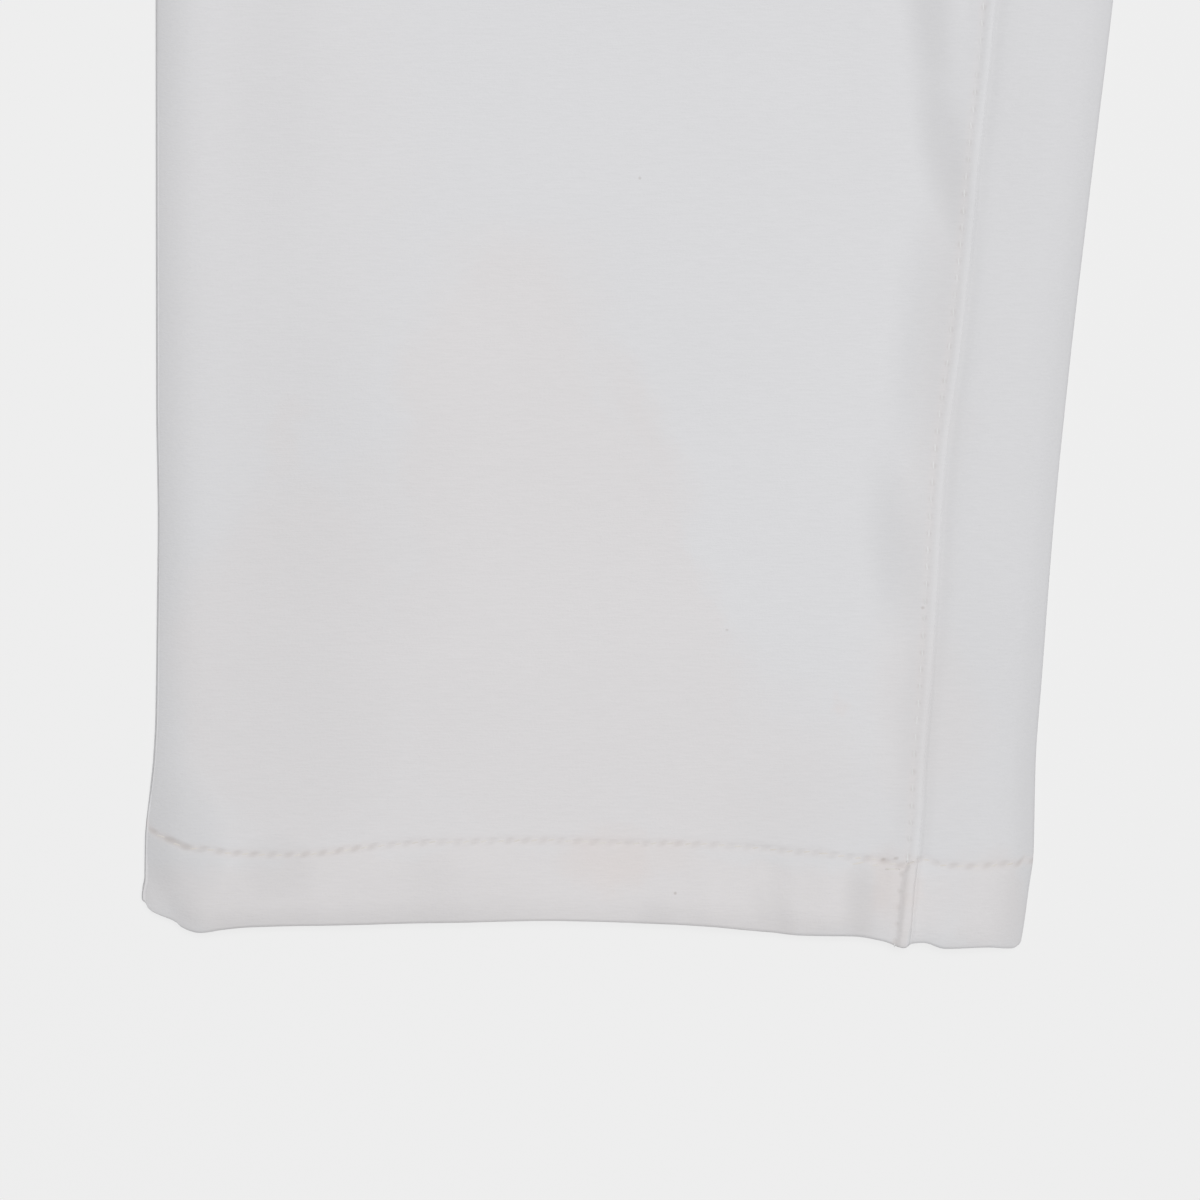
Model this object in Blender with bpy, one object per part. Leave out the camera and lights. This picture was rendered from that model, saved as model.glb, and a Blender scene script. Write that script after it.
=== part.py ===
"""Hiking trousers laid flat on a surface, front up, waist towards +Y.

Metres, +Z up. The trousers lie on Z = 0 and the origin is under their middle.
Each cut piece is one wall of cloth. Its outer face is a grid whose points are
placed from the outline of the laid garment, its seams and its largest folds,
and its inner face is the same grid set in by the cloth's thickness.

A leg is described by its distance out from the centre line and its height
above the lowest point of the hem, so one description serves both legs.
"""

import bisect
import math
from collections import namedtuple

import bmesh
import bpy

# Walls
CLOTH = 0.0014
HEM_CLOTH = 0.0022
BAND_CLOTH = 0.0024
SEAM_GAP = 0.0003

# Heights above the lowest point of the hem
HEM_DEPTH = 0.018
CROTCH = 0.770
FLY_FOOT = 0.845
WAIST = 0.985
BAND_DEPTH = 0.038

# The waist edge is cut lower at the front and higher at the back
FRONT_DIP = 0.012
BACK_RISE = 0.012
LENGTH = WAIST + SEAM_GAP + BAND_DEPTH + BACK_RISE

# How far in from a fold its round reaches, over and under
ROUND_OVER = 0.008
ROUND_UNDER = 0.004
OUTSEAM_TURN = math.radians(5)

# The inseam is rolled this far on to the front, and runs out to the fold at the crotch
INSEAM_IN = 0.0272
INSEAM_RUN = 0.190
SEAM_LIFT = 0.0007
SEAM_LIFT_WIDTH = 0.012

# The fly: the left front laps over the right one
FLY_LAP = 0.008
FLY_LIFT = 0.0014
FLY_WIDTH = 0.036
FLY_SINK = 0.0010

# The waistband: its left end lies over its right end
BAND_TOP_Z = 0.0064
OVERLAP_Z = 0.0080
UNDERLAP_Z = 0.0053
UNDERLAP = 0.028

BUTTON_RADIUS = 0.0085
BUTTON_THICKNESS = 0.0030
BUTTON_IN = 0.0135

# The laid outline of a leg: from the centre line out to its outer and inner
# folds, and how high its top face lies
Station = namedtuple("Station", "height outer inner top")
OUTLINE = (
    Station(0.000, 0.2930, 0.0862, 0.0064),
    Station(0.012, 0.2933, 0.0853, 0.0066),
    Station(0.020, 0.2926, 0.0846, 0.0062),
    Station(0.030, 0.2918, 0.0840, 0.0056),
    Station(0.050, 0.2903, 0.0828, 0.0055),
    Station(0.090, 0.2898, 0.0801, 0.0055),
    Station(0.129, 0.2900, 0.0764, 0.0056),
    Station(0.223, 0.2901, 0.0653, 0.0056),
    Station(0.420, 0.2900, 0.0430, 0.0060),
    Station(0.600, 0.2895, 0.0228, 0.0060),
    Station(0.730, 0.2882, 0.0088, 0.0062),
    Station(0.758, 0.2868, 0.0050, 0.0062),
    Station(0.770, 0.2860, SEAM_GAP / 2, 0.0062),
    Station(0.830, 0.2790, SEAM_GAP / 2, 0.0062),
    Station(0.880, 0.2665, SEAM_GAP / 2, 0.0062),
    Station(0.940, 0.2440, SEAM_GAP / 2, 0.0062),
    Station(0.985, 0.2250, SEAM_GAP / 2, 0.0064),
)
BAND_TOP_HALF = 0.2150

# The hem's lower edge: how far it stands above its lowest point, going in from the outer fold
HemPoint = namedtuple("HemPoint", "inward rise")
HEM_EDGE = (
    HemPoint(0.0000, 0.0105),
    HemPoint(0.0015, 0.0088),
    HemPoint(0.0060, 0.0070),
    HemPoint(0.0125, 0.0040),
    HemPoint(0.0230, 0.0050),
    HemPoint(0.0480, 0.0057),
    HemPoint(0.0950, 0.0068),
    HemPoint(0.1340, 0.0054),
    HemPoint(0.1740, 0.0022),
    HemPoint(0.1900, 0.0000),
    HemPoint(0.2080, 0.0004),
)
HEM_EDGE_FADE = 0.060
HEM_ROUND = 0.0009

# The largest folds of the top face. leg is -1 for the wearer's right, +1 for the left
Fold = namedtuple("Fold", "leg from_out from_height to_out to_height half_width lift")
FOLDS = (
    Fold(-1, 0.1200, 0.300, 0.1030, 0.165, 0.0080, -0.0011),
    Fold(-1, 0.1095, 0.134, 0.1142, 0.080, 0.0060, -0.0008),
    Fold(-1, 0.2300, 0.235, 0.2280, 0.060, 0.0240, -0.0006),
    Fold(-1, 0.0500, 0.405, 0.1500, 0.440, 0.0180, 0.0014),
    Fold(-1, 0.2850, 0.480, 0.1900, 0.455, 0.0200, 0.0012),
    Fold(-1, 0.0900, 0.500, 0.2000, 0.530, 0.0200, -0.0010),
    Fold(-1, 0.0300, 0.735, 0.1700, 0.650, 0.0240, 0.0017),
    Fold(-1, 0.0200, 0.775, 0.1900, 0.760, 0.0180, -0.0012),
    Fold(-1, 0.0150, 0.800, 0.1700, 0.860, 0.0200, 0.0015),
    Fold(1, 0.1160, 0.280, 0.1010, 0.150, 0.0080, -0.0011),
    Fold(1, 0.2200, 0.260, 0.2450, 0.080, 0.0240, -0.0006),
    Fold(1, 0.1120, 0.110, 0.1180, 0.060, 0.0070, -0.0007),
    Fold(1, 0.0550, 0.375, 0.1700, 0.415, 0.0200, 0.0014),
    Fold(1, 0.2800, 0.440, 0.1800, 0.470, 0.0180, 0.0011),
    Fold(1, 0.0300, 0.745, 0.1800, 0.690, 0.0220, 0.0016),
    Fold(1, 0.1000, 0.600, 0.2100, 0.570, 0.0220, -0.0009),
    Fold(1, 0.0200, 0.790, 0.1600, 0.840, 0.0180, 0.0013),
    Fold(1, 0.2500, 0.820, 0.1500, 0.790, 0.0200, -0.0009),
)

# Rows of points up a leg: even steps up to each height
RowRun = namedtuple("RowRun", "up_to steps")
ROW_RUNS = (
    RowRun(0.0025, 1),
    RowRun(HEM_DEPTH, 2),
    RowRun(0.022, 1),
    RowRun(0.240, 11),
    RowRun(0.740, 12),
    RowRun(0.758, 2),
    RowRun(CROTCH, 2),
    RowRun(0.778, 2),
    RowRun(0.845, 4),
    RowRun(WAIST, 6),
)

# Columns of points round a leg
FOLD_COLUMNS = 3
FRONT_COLUMNS = 7
UNDER_COLUMNS = 3
WRAP_COLUMNS = 6
BESIDE_SEAM = (0.026, 0.015, 0.008, 0.0035, 0.001, 0.0)

CLOTH_COLOUR = (0.69, 0.68, 0.70, 1.0)
BUTTON_COLOUR = (0.62, 0.61, 0.60, 1.0)


def ease(share):
    """0 to 1, level at both ends."""
    share = min(max(share, 0.0), 1.0)
    return share * share * (3.0 - 2.0 * share)


def round_rise(share):
    """How far a quarter round has risen, a share of the way in from its edge."""
    share = min(max(share, 0.0), 1.0)
    return math.sqrt(1.0 - (1.0 - share) ** 2)


def curve_through(points, place):
    """A smooth curve through (place, value) pairs that never overshoots them."""
    places = [point[0] for point in points]
    values = [point[1] for point in points]
    if place <= places[0]:
        return values[0]
    if place >= places[-1]:
        return values[-1]
    slopes = [
        (values[k + 1] - values[k]) / (places[k + 1] - places[k])
        for k in range(len(points) - 1)
    ]
    tangents = [slopes[0]]
    for before, after in zip(slopes, slopes[1:]):
        level = before * after <= 0.0
        tangents.append(0.0 if level else 2.0 * before * after / (before + after))
    tangents.append(slopes[-1])
    k = bisect.bisect_right(places, place) - 1
    step = places[k + 1] - places[k]
    t = (place - places[k]) / step
    return (
        values[k] * (1.0 + 2.0 * t) * (1.0 - t) ** 2
        + tangents[k] * step * t * (1.0 - t) ** 2
        + values[k + 1] * t * t * (3.0 - 2.0 * t)
        + tangents[k + 1] * step * t * t * (t - 1.0)
    )


def outline(height, column):
    """One column of the leg's outline at a height."""
    return curve_through([(row.height, getattr(row, column)) for row in OUTLINE], height)


def leg_rows():
    """The heights of the rows of points up a leg."""
    rows = [0.0]
    for run in ROW_RUNS:
        start = rows[-1]
        rows += [start + (run.up_to - start) * k / run.steps for k in range(1, run.steps + 1)]
    return rows


def waist_curve(out, half_width, is_front):
    """How far the waist edge stands above its height at the side."""
    middle = 1.0 - min(out / half_width, 1.0) ** 2
    return -FRONT_DIP * middle if is_front else BACK_RISE * middle


def place_up(out, height, is_front):
    """Where a row of that height lies along Y, with the curved hem and waist let in."""
    inward = outline(height, "outer") - out
    hem = curve_through(HEM_EDGE, inward) * (1.0 - ease(height / HEM_EDGE_FADE))
    waist = waist_curve(out, outline(WAIST, "outer"), is_front) * ease((height - 0.86) / (WAIST - 0.86))
    return height + hem + waist - LENGTH / 2


def folds_at(leg, out, height):
    """How far the folds raise or sink the top face."""
    total = 0.0
    for fold in FOLDS:
        if fold.leg != leg:
            continue
        along_out = fold.to_out - fold.from_out
        along_up = fold.to_height - fold.from_height
        reach = (out - fold.from_out) * along_out + (height - fold.from_height) * along_up
        share = min(max(reach / (along_out**2 + along_up**2), 0.0), 1.0)
        aside = math.hypot(
            out - fold.from_out - share * along_out,
            height - fold.from_height - share * along_up,
        )
        total += fold.lift * math.exp(-((aside / fold.half_width) ** 2))
    return total


def inseam(height):
    """How far out from the centre line the inseam lies, on the top face."""
    return outline(height, "inner") + INSEAM_IN * ease((CROTCH - height) / INSEAM_RUN)


def from_inner_fold(out, height):
    """How far a point lies from the inner fold or the crotch, and which way leads away."""
    if height <= CROTCH:
        return out - outline(height, "inner"), (1.0, 0.0)
    reach = math.hypot(out, height - CROTCH)
    return reach, (out / reach, (height - CROTCH) / reach)


def wall_of(height):
    """The thickness of the cloth at a height."""
    return HEM_CLOTH if height <= HEM_DEPTH + 1e-6 else CLOTH


def fly_lift(leg, out, height):
    """The left front rides up over the right one beside the fly."""
    closed = ease((height - FLY_FOOT + 0.035) / 0.035)
    if leg > 0:
        return closed * FLY_LIFT * (1.0 - ease((out - FLY_WIDTH) / 0.020))
    return -closed * FLY_SINK * (1.0 - ease(out / 0.015))


def face_point(leg, out, height, inset, is_over, is_front):
    """A point of the leg's laid tube: its top or its under face, or its wall's inner face."""
    middle = outline(height, "top") / 2
    round_in = ROUND_OVER if is_over else ROUND_UNDER
    in_from_outer = outline(height, "outer") - out
    in_from_inner, away = from_inner_fold(out, height)
    rise = round_rise(in_from_outer / round_in) * round_rise(in_from_inner / round_in)
    if is_over:
        face = outline(height, "top") + folds_at(leg, out, height)
        if is_front:
            beside = (out - inseam(height)) / SEAM_LIFT_WIDTH
            fade = ease((CROTCH - height) / INSEAM_RUN)
            face += fade * SEAM_LIFT * (1.0 - ease(beside))
            face += fly_lift(leg, out, height)
            face -= HEM_ROUND * (1.0 - round_rise(height / ROW_RUNS[0].up_to))
        up = middle + (face - inset - middle) * rise
    else:
        up = middle + (inset - middle) * rise
    turn_out = inset * max(0.0, 1.0 - in_from_outer / round_in)
    turn_in = inset * max(0.0, 1.0 - in_from_inner / round_in)
    across = out - turn_out + turn_in * away[0]
    along = place_up(out, height, is_front) + turn_in * away[1]
    return leg * across, along, up


def outer_fold_places(height, is_over):
    """Places round the outer fold, from the outseam on its edge to the flat."""
    round_in = ROUND_OVER if is_over else ROUND_UNDER
    edge = outline(height, "outer")
    turns = [
        OUTSEAM_TURN + (math.pi / 2 - OUTSEAM_TURN) * k / FOLD_COLUMNS
        for k in range(FOLD_COLUMNS + 1)
    ]
    return [edge - round_in * (1.0 - math.cos(turn)) for turn in turns]


def front_places(leg, height):
    """Places across a front, from the outseam to the inseam or the centre seam."""
    places = outer_fold_places(height, True)
    end = inseam(height) + SEAM_GAP / 2
    if height > CROTCH:
        lap = FLY_LAP * ease((height - FLY_FOOT) / 0.025) if leg < 0 else 0.0
        end = SEAM_GAP / 2 - lap
    start = places[-1]
    for k in range(1, FRONT_COLUMNS):
        places.append(start + (end + BESIDE_SEAM[0] - start) * k / FRONT_COLUMNS)
    return places + [end + beside for beside in BESIDE_SEAM]


def back_places(height):
    """Places round a back, under from the outseam to the inner fold, then over to the inseam."""
    under = outer_fold_places(height, False)
    inner = outline(height, "inner")
    turns = [math.pi / 2 * (1.0 - k / FOLD_COLUMNS) for k in range(FOLD_COLUMNS + 1)]
    inner_round = [inner + ROUND_UNDER * (1.0 - math.cos(turn)) for turn in turns]
    start = under[-1]
    for k in range(1, UNDER_COLUMNS):
        under.append(start + (inner_round[0] - start) * k / UNDER_COLUMNS)
    places = [(out, False) for out in under + inner_round]
    wrap = max(inseam(height) - SEAM_GAP / 2 - inner, 0.0)
    for k in range(1, WRAP_COLUMNS + 1):
        places.append((inner + wrap * (k / WRAP_COLUMNS) ** 1.9, True))
    return places


def cloth_wall(name, outer_points, inner_points, is_cut_away, material, collection):
    """A wall of cloth from two grids of points, one for each face, with its edges closed."""
    rows = len(outer_points)
    columns = len(outer_points[0])
    bm = bmesh.new()
    bmesh.ops.create_grid(bm, x_segments=columns - 1, y_segments=rows - 1, size=0.5)
    column_of = bm.verts.layers.int.new("column")
    row_of = bm.verts.layers.int.new("row")
    for vert in bm.verts:
        vert[column_of] = round((vert.co.x + 0.5) * (columns - 1))
        vert[row_of] = round((vert.co.y + 0.5) * (rows - 1))
    spare = [vert for vert in bm.verts if is_cut_away(vert[row_of], vert[column_of])]
    bmesh.ops.delete(bm, geom=spare, context="VERTS")
    inner_side = bmesh.ops.extrude_face_region(bm, geom=bm.faces[:], use_keep_orig=True)
    inner_verts = {item for item in inner_side["geom"] if isinstance(item, bmesh.types.BMVert)}
    for vert in bm.verts:
        points = inner_points if vert in inner_verts else outer_points
        vert.co = points[vert[row_of]][vert[column_of]]
    bmesh.ops.remove_doubles(bm, verts=bm.verts[:], dist=2e-5)
    bmesh.ops.recalc_face_normals(bm, faces=bm.faces[:])
    mesh = bpy.data.meshes.new(name)
    bm.to_mesh(mesh)
    bm.free()
    mesh.shade_smooth()
    mesh.set_sharp_from_angle(angle=math.radians(50))
    mesh.materials.append(material)
    piece = bpy.data.objects.new(name, mesh)
    collection.objects.link(piece)
    return piece


def no_cut(row, column):
    """Keeps the whole grid."""
    return False


def make_front(name, leg, material, collection):
    """The front of one leg, from hem to waist, between outseam and inseam or fly."""
    heights = leg_rows()

    def face(inset_share):
        return [
            [
                face_point(leg, out, height, inset_share * wall_of(height), True, True)
                for out in front_places(leg, height)
            ]
            for height in heights
        ]

    return cloth_wall(name, face(0.0), face(1.0), no_cut, material, collection)


def make_back(name, leg, material, collection):
    """The back of one leg, with the strip that rolls over the inner fold to the inseam."""
    heights = leg_rows()
    under_columns = len(back_places(CROTCH)) - WRAP_COLUMNS

    def face(inset_share):
        return [
            [
                face_point(leg, out, height, inset_share * wall_of(height), is_over, False)
                for out, is_over in back_places(height)
            ]
            for height in heights
        ]

    def over_the_crotch(row, column):
        return heights[row] > CROTCH + 1e-6 and column >= under_columns

    return cloth_wall(name, face(0.0), face(1.0), over_the_crotch, material, collection)


def band_top(across, is_left):
    """How high the waistband's top face lies: its ends lap at the centre front."""
    if is_left:
        return OVERLAP_Z + (BAND_TOP_Z - OVERLAP_Z) * ease((across - 0.032) / 0.030)
    return UNDERLAP_Z + (BAND_TOP_Z - UNDERLAP_Z) * ease((-0.003 - across) / 0.014)


def band_columns():
    """Round the waistband from its under end: place across as a share, turn, and side."""
    quarter = math.pi / 2
    under_end = [(x, quarter, -1) for x in (UNDERLAP, 0.014, 0.0, -0.003, -0.007, -0.012, -0.017)]
    right_run = [(-0.2 * share, quarter, -1) for share in (0.3, 0.6, 0.8)]
    turns = [quarter - math.pi * k / (2 * FOLD_COLUMNS) for k in range(2 * FOLD_COLUMNS + 1)]
    right_fold = [(None, turn, -1) for turn in turns]
    under_run = [(0.05 * k, -quarter, -1) for k in range(-4, 5)]
    left_fold = [(None, -turn, 1) for turn in turns]
    left_run = [(0.2 * share, quarter, 1) for share in (0.8, 0.6, 0.4)]
    over_end = [(x, quarter, 1) for x in (0.060, 0.052, 0.042, 0.032, 0.016, 0.0)]
    return under_end + right_run + right_fold + under_run + left_fold + left_run + over_end


def band_point(column, share_up, inset):
    """A point of the waistband's outer face, or of its inner face."""
    place, turn, side = column
    half = outline(WAIST, "outer") + (BAND_TOP_HALF - outline(WAIST, "outer")) * share_up
    over = turn > 0.0
    if place is None:
        round_in = (ROUND_OVER if over else ROUND_UNDER) - inset
        across = side * (half - inset - round_in * (1.0 - math.cos(turn)))
    else:
        across = place
    top = band_top(across, side > 0)
    if turn < 0.0:
        top = BAND_TOP_Z
    middle = BAND_TOP_Z / 2
    reach = top - inset - middle if over else middle - inset
    up = middle + reach * math.sin(turn)
    height = WAIST + SEAM_GAP + BAND_DEPTH * share_up
    curve = waist_curve(abs(across), half, over)
    return across, height + curve - LENGTH / 2, up


def make_waistband(name, material, collection):
    """One strip round the waist, its left end lapped over its right at the front."""
    shares = (0.0, 0.5, 1.0)

    def face(inset):
        return [[band_point(column, share, inset) for column in band_columns()] for share in shares]

    return cloth_wall(name, face(0.0), face(BAND_CLOTH), no_cut, material, collection)


def make_button(name, material, collection):
    """A round button with a raised rim, on the lapped end of the waistband."""
    bm = bmesh.new()
    bmesh.ops.create_cone(
        bm,
        cap_ends=True,
        segments=28,
        radius1=BUTTON_RADIUS,
        radius2=BUTTON_RADIUS,
        depth=BUTTON_THICKNESS,
    )
    lid = max(bm.faces, key=lambda face: face.calc_center_median().z)
    bmesh.ops.inset_region(bm, faces=[lid], thickness=0.0018)
    bmesh.ops.inset_region(bm, faces=[lid], thickness=0.0008, depth=-0.0009)
    rims = [edge for edge in bm.edges if edge.calc_face_angle(0.0) > math.radians(60)]
    bmesh.ops.bevel(
        bm, geom=rims, offset=0.0006, offset_type="OFFSET", affect="EDGES", segments=2, profile=0.5
    )
    mesh = bpy.data.meshes.new(name)
    bm.to_mesh(mesh)
    bm.free()
    mesh.shade_smooth()
    mesh.set_sharp_from_angle(angle=math.radians(40))
    mesh.materials.append(material)
    button = bpy.data.objects.new(name, mesh)
    middle_up = WAIST + SEAM_GAP + BAND_DEPTH / 2 - FRONT_DIP - LENGTH / 2
    button.location = (BUTTON_IN, middle_up, OVERLAP_Z + SEAM_GAP + BUTTON_THICKNESS / 2)
    collection.objects.link(button)
    return button


def make_material(name, colour, roughness):
    """A plain finish for one piece."""
    material = bpy.data.materials.new(name)
    material.use_nodes = True
    shader = material.node_tree.nodes["Principled BSDF"]
    shader.inputs["Base Color"].default_value = colour
    shader.inputs["Roughness"].default_value = roughness
    shader.inputs["Metallic"].default_value = 0.0
    return material


for leftover in list(bpy.data.objects):
    bpy.data.objects.remove(leftover, do_unlink=True)

trousers = bpy.data.collections.new("hiking_trousers")
bpy.context.scene.collection.children.link(trousers)

for side_name, leg_side in (("right", -1), ("left", 1)):
    front_cloth = make_material(f"front_{side_name}_cloth", CLOTH_COLOUR, 0.9)
    make_front(f"front_{side_name}", leg_side, front_cloth, trousers)
    back_cloth = make_material(f"back_{side_name}_cloth", CLOTH_COLOUR, 0.9)
    make_back(f"back_{side_name}", leg_side, back_cloth, trousers)

make_waistband("waistband", make_material("waistband_cloth", CLOTH_COLOUR, 0.9), trousers)
make_button("button", make_material("button_resin", BUTTON_COLOUR, 0.35), trousers)
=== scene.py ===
"""Hiking trousers laid flat, front up, seen from straight above the right leg's hem.

Metres, +Z up, the waist towards +Y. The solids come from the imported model, and
every piece here is a thin shell of cloth, a row of stitches or the button.
"""

import math
import random
from collections import namedtuple

import bmesh
import bpy
import numpy as np
from mathutils import Matrix, Vector


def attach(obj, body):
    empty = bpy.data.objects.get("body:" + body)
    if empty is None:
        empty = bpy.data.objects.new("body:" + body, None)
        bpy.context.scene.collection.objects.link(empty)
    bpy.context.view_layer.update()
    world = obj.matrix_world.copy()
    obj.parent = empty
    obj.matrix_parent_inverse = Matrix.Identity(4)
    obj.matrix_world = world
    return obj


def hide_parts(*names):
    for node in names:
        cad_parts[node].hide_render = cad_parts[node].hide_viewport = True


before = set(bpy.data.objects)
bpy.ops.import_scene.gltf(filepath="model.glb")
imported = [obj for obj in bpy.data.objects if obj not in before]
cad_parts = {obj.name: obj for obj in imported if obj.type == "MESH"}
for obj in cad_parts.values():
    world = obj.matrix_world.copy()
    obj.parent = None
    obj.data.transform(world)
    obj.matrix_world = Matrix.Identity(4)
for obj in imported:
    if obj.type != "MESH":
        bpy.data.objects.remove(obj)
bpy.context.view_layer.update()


# ---------------------------------------------------------------- light table
# The trousers lie on a large sheet of backlit opal acrylic, as small goods do
# for a catalogue. One wide softbox hangs high over the table, a little to the
# right of the hem that the camera looks at.

TABLE_COLOUR = "#5C5C5C"
TABLE_GLOW = "#E0E0E0"
TABLE_HALF, TABLE_DOWN = 30.0, 0.0004
ROOM_COLOUR = "#949494"
SOFTBOX_POWER = 74.5
SOFTBOX_SIDE = 1.75
SOFTBOX_PLACE = (0.10, -0.10, 3.0)

FRAME_MIDDLE = (-0.18566, -0.4354)
FRAME_SIDE = 0.282
LENS = 100.0
SENSOR = 36.0
CLOTH_TOP = 0.0056


def linear(hex_colour):
    """An sRGB hex colour as linear red, green, blue and alpha."""
    parts = [int(hex_colour[k : k + 2], 16) / 255 for k in (1, 3, 5)]
    return [c / 12.92 if c <= 0.04045 else ((c + 0.055) / 1.055) ** 2.4 for c in parts] + [1.0]


def give(node, inputs):
    """Gives each named input of a node a value or a link."""
    for socket, value in inputs.items():
        if isinstance(value, bpy.types.NodeSocket):
            node.id_data.links.new(value, node.inputs[socket])
        else:
            node.inputs[socket].default_value = value


def add_node(tree, kind, inputs=None, gives=0, **settings):
    """Adds a node with its settings, gives each input a value or a link, and returns an output."""
    made = tree.nodes.new("ShaderNode" + kind)
    for name, value in settings.items():
        setattr(made, name, value)
    give(made, inputs or {})
    return made.outputs[gives]


def new_material(name):
    """An empty material, its node tree and its Principled shader."""
    material = bpy.data.materials.new(name)
    material.use_nodes = True
    return material, material.node_tree, material.node_tree.nodes["Principled BSDF"]


def piece_from(bm, name, material):
    """A smooth-shaded object from a bmesh."""
    mesh = bpy.data.meshes.new(name)
    bm.to_mesh(mesh)
    bm.free()
    mesh.shade_smooth()
    mesh.materials.append(material)
    piece = bpy.data.objects.new(name, mesh)
    bpy.context.scene.collection.objects.link(piece)
    return piece


# Opal acrylic: matt, and lit from behind, so it takes only a faint shadow
opal_acrylic, tree, shader = new_material("opal_acrylic")
give(shader, {"Base Color": linear(TABLE_COLOUR), "Roughness": 0.9, "Specular IOR Level": 0.0})
give(shader, {"Emission Color": linear(TABLE_GLOW), "Emission Strength": 1.0})

bm = bmesh.new()
bmesh.ops.create_grid(bm, x_segments=8, y_segments=8, size=TABLE_HALF)
bmesh.ops.translate(bm, verts=bm.verts[:], vec=(0.0, 0.0, -TABLE_DOWN))
light_table = piece_from(bm, "light_table", opal_acrylic)

softbox_lamp = bpy.data.lights.new("softbox", "AREA")
softbox_lamp.shape = "SQUARE"
softbox_lamp.size = SOFTBOX_SIDE
softbox_lamp.energy = SOFTBOX_POWER
softbox = bpy.data.objects.new("softbox", softbox_lamp)
softbox.location = SOFTBOX_PLACE
bpy.context.scene.collection.objects.link(softbox)

room = bpy.data.worlds.new("pale_room")
room.use_nodes = True
give(room.node_tree.nodes["Background"], {"Color": linear(ROOM_COLOUR)})
bpy.context.scene.world = room

camera_data = bpy.data.cameras.new("camera")
camera_data.lens = LENS
camera_data.sensor_width = SENSOR
camera_data.clip_start = 0.01
camera = bpy.data.objects.new("camera", camera_data)
camera.location = (*FRAME_MIDDLE, CLOTH_TOP + FRAME_SIDE * LENS / SENSOR)
bpy.context.scene.collection.objects.link(camera)
bpy.context.scene.camera = camera
bpy.context.scene.view_settings.view_transform = "Standard"


# --------------------------------------------------------------- leg fronts
# One panel of off-white stretch double weave for each leg, from the outseam on
# the side fold to the inseam, with its hem turned up inside. At the inseam its
# edge is folded under and edge-stitched on to the back.
#
# A leg is described by its distance out from the centre line and its height
# above the lowest point of the hem.

CROTCH = 0.770
FLY_FOOT = 0.845
WAIST = 0.985
LENGTH = 1.0353
FRONT_DIP = 0.012
BACK_RISE = 0.012

# Out from the centre line to the two folds of a laid leg, and up to its top face
OUTER_FOLD = (
    (0.000, 0.2936), (0.0127, 0.2939), (0.0165, 0.2933), (0.0260, 0.2932), (0.0353, 0.2923),
    (0.0447, 0.2913), (0.0541, 0.2908), (0.0823, 0.2904), (0.1011, 0.2902), (0.1300, 0.2906),
    (0.2230, 0.2907), (0.4200, 0.2906), (0.6000, 0.2898), (0.7300, 0.2882), (0.7580, 0.2868),
    (0.7700, 0.2860), (0.8300, 0.2790), (0.8800, 0.2665), (0.9400, 0.2440), (0.9850, 0.2250),
)
INNER_FOLD = (
    (0.0000, 0.0866), (0.0035, 0.0859), (0.0089, 0.0851), (0.0141, 0.0844), (0.0221, 0.0833),
    (0.0447, 0.0827), (0.0635, 0.0813), (0.1011, 0.0784), (0.1387, 0.0746), (0.1763, 0.0702),
    (0.2233, 0.0645), (0.4200, 0.0424), (0.6000, 0.0225), (0.7300, 0.0088), (0.7580, 0.0050),
    (0.7700, 0.0001), (0.9850, 0.0001),
)
TOP_FACE = (
    (0.000, 0.0064), (0.012, 0.0065), (0.022, 0.0061), (0.032, 0.0057), (0.050, 0.0055),
    (0.129, 0.0056), (0.420, 0.0060), (0.730, 0.0062), (0.940, 0.0062), (0.985, 0.0064),
)
# How far up the side folds lie. The cloth comes down to them on a long round
# over, with a tight turn at the fold itself, and is nearly flat under
FOLD_UP = (
    (0.000, 0.0021), (0.018, 0.0020), (0.035, 0.0014), (0.900, 0.0016), (0.985, 0.0032),
)
ROUND_OVER = 0.0140
ROUND_UNDER = 0.0040
TIGHT_TURN = 0.0009
TIGHT_SHARE = 0.08

# The inseam is rolled on to the front, and runs out to the fold at the crotch
SEAM_IN = (
    (0.000, 0.0265), (0.010, 0.0272), (0.020, 0.0276), (0.034, 0.0269), (0.060, 0.0265),
    (0.080, 0.0266), (0.096, 0.0269), (0.117, 0.0273), (0.143, 0.0266), (0.165, 0.0268),
    (0.186, 0.0274), (0.209, 0.0277), (0.223, 0.0281), (0.420, 0.0281), (0.580, 0.0275),
)
SEAM_RUN = 0.190

# Going in from the outer fold: the folded edge of the hem above its lowest
# point, and the row of stitches above that edge
HEM_START = 0.2930
HEM_EDGE = (
    (-0.0010, 0.0112), (0.0000, 0.0104), (0.0007, 0.0092), (0.0025, 0.0082), (0.0068, 0.0066),
    (0.0091, 0.0049), (0.0131, 0.0039), (0.0190, 0.0047), (0.0246, 0.0052), (0.0462, 0.0057),
    (0.0838, 0.0066), (0.0944, 0.0068), (0.1191, 0.0061), (0.1332, 0.0054), (0.1402, 0.0047),
    (0.1473, 0.0040), (0.1543, 0.0033), (0.1666, 0.0031), (0.1741, 0.0019), (0.1788, 0.0004),
    (0.1808, 0.0014), (0.1835, 0.0016), (0.1884, 0.0002), (0.1985, 0.0005), (0.2050, 0.0001),
    (0.2064, 0.0007), (0.2073, 0.0020),
)
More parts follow.
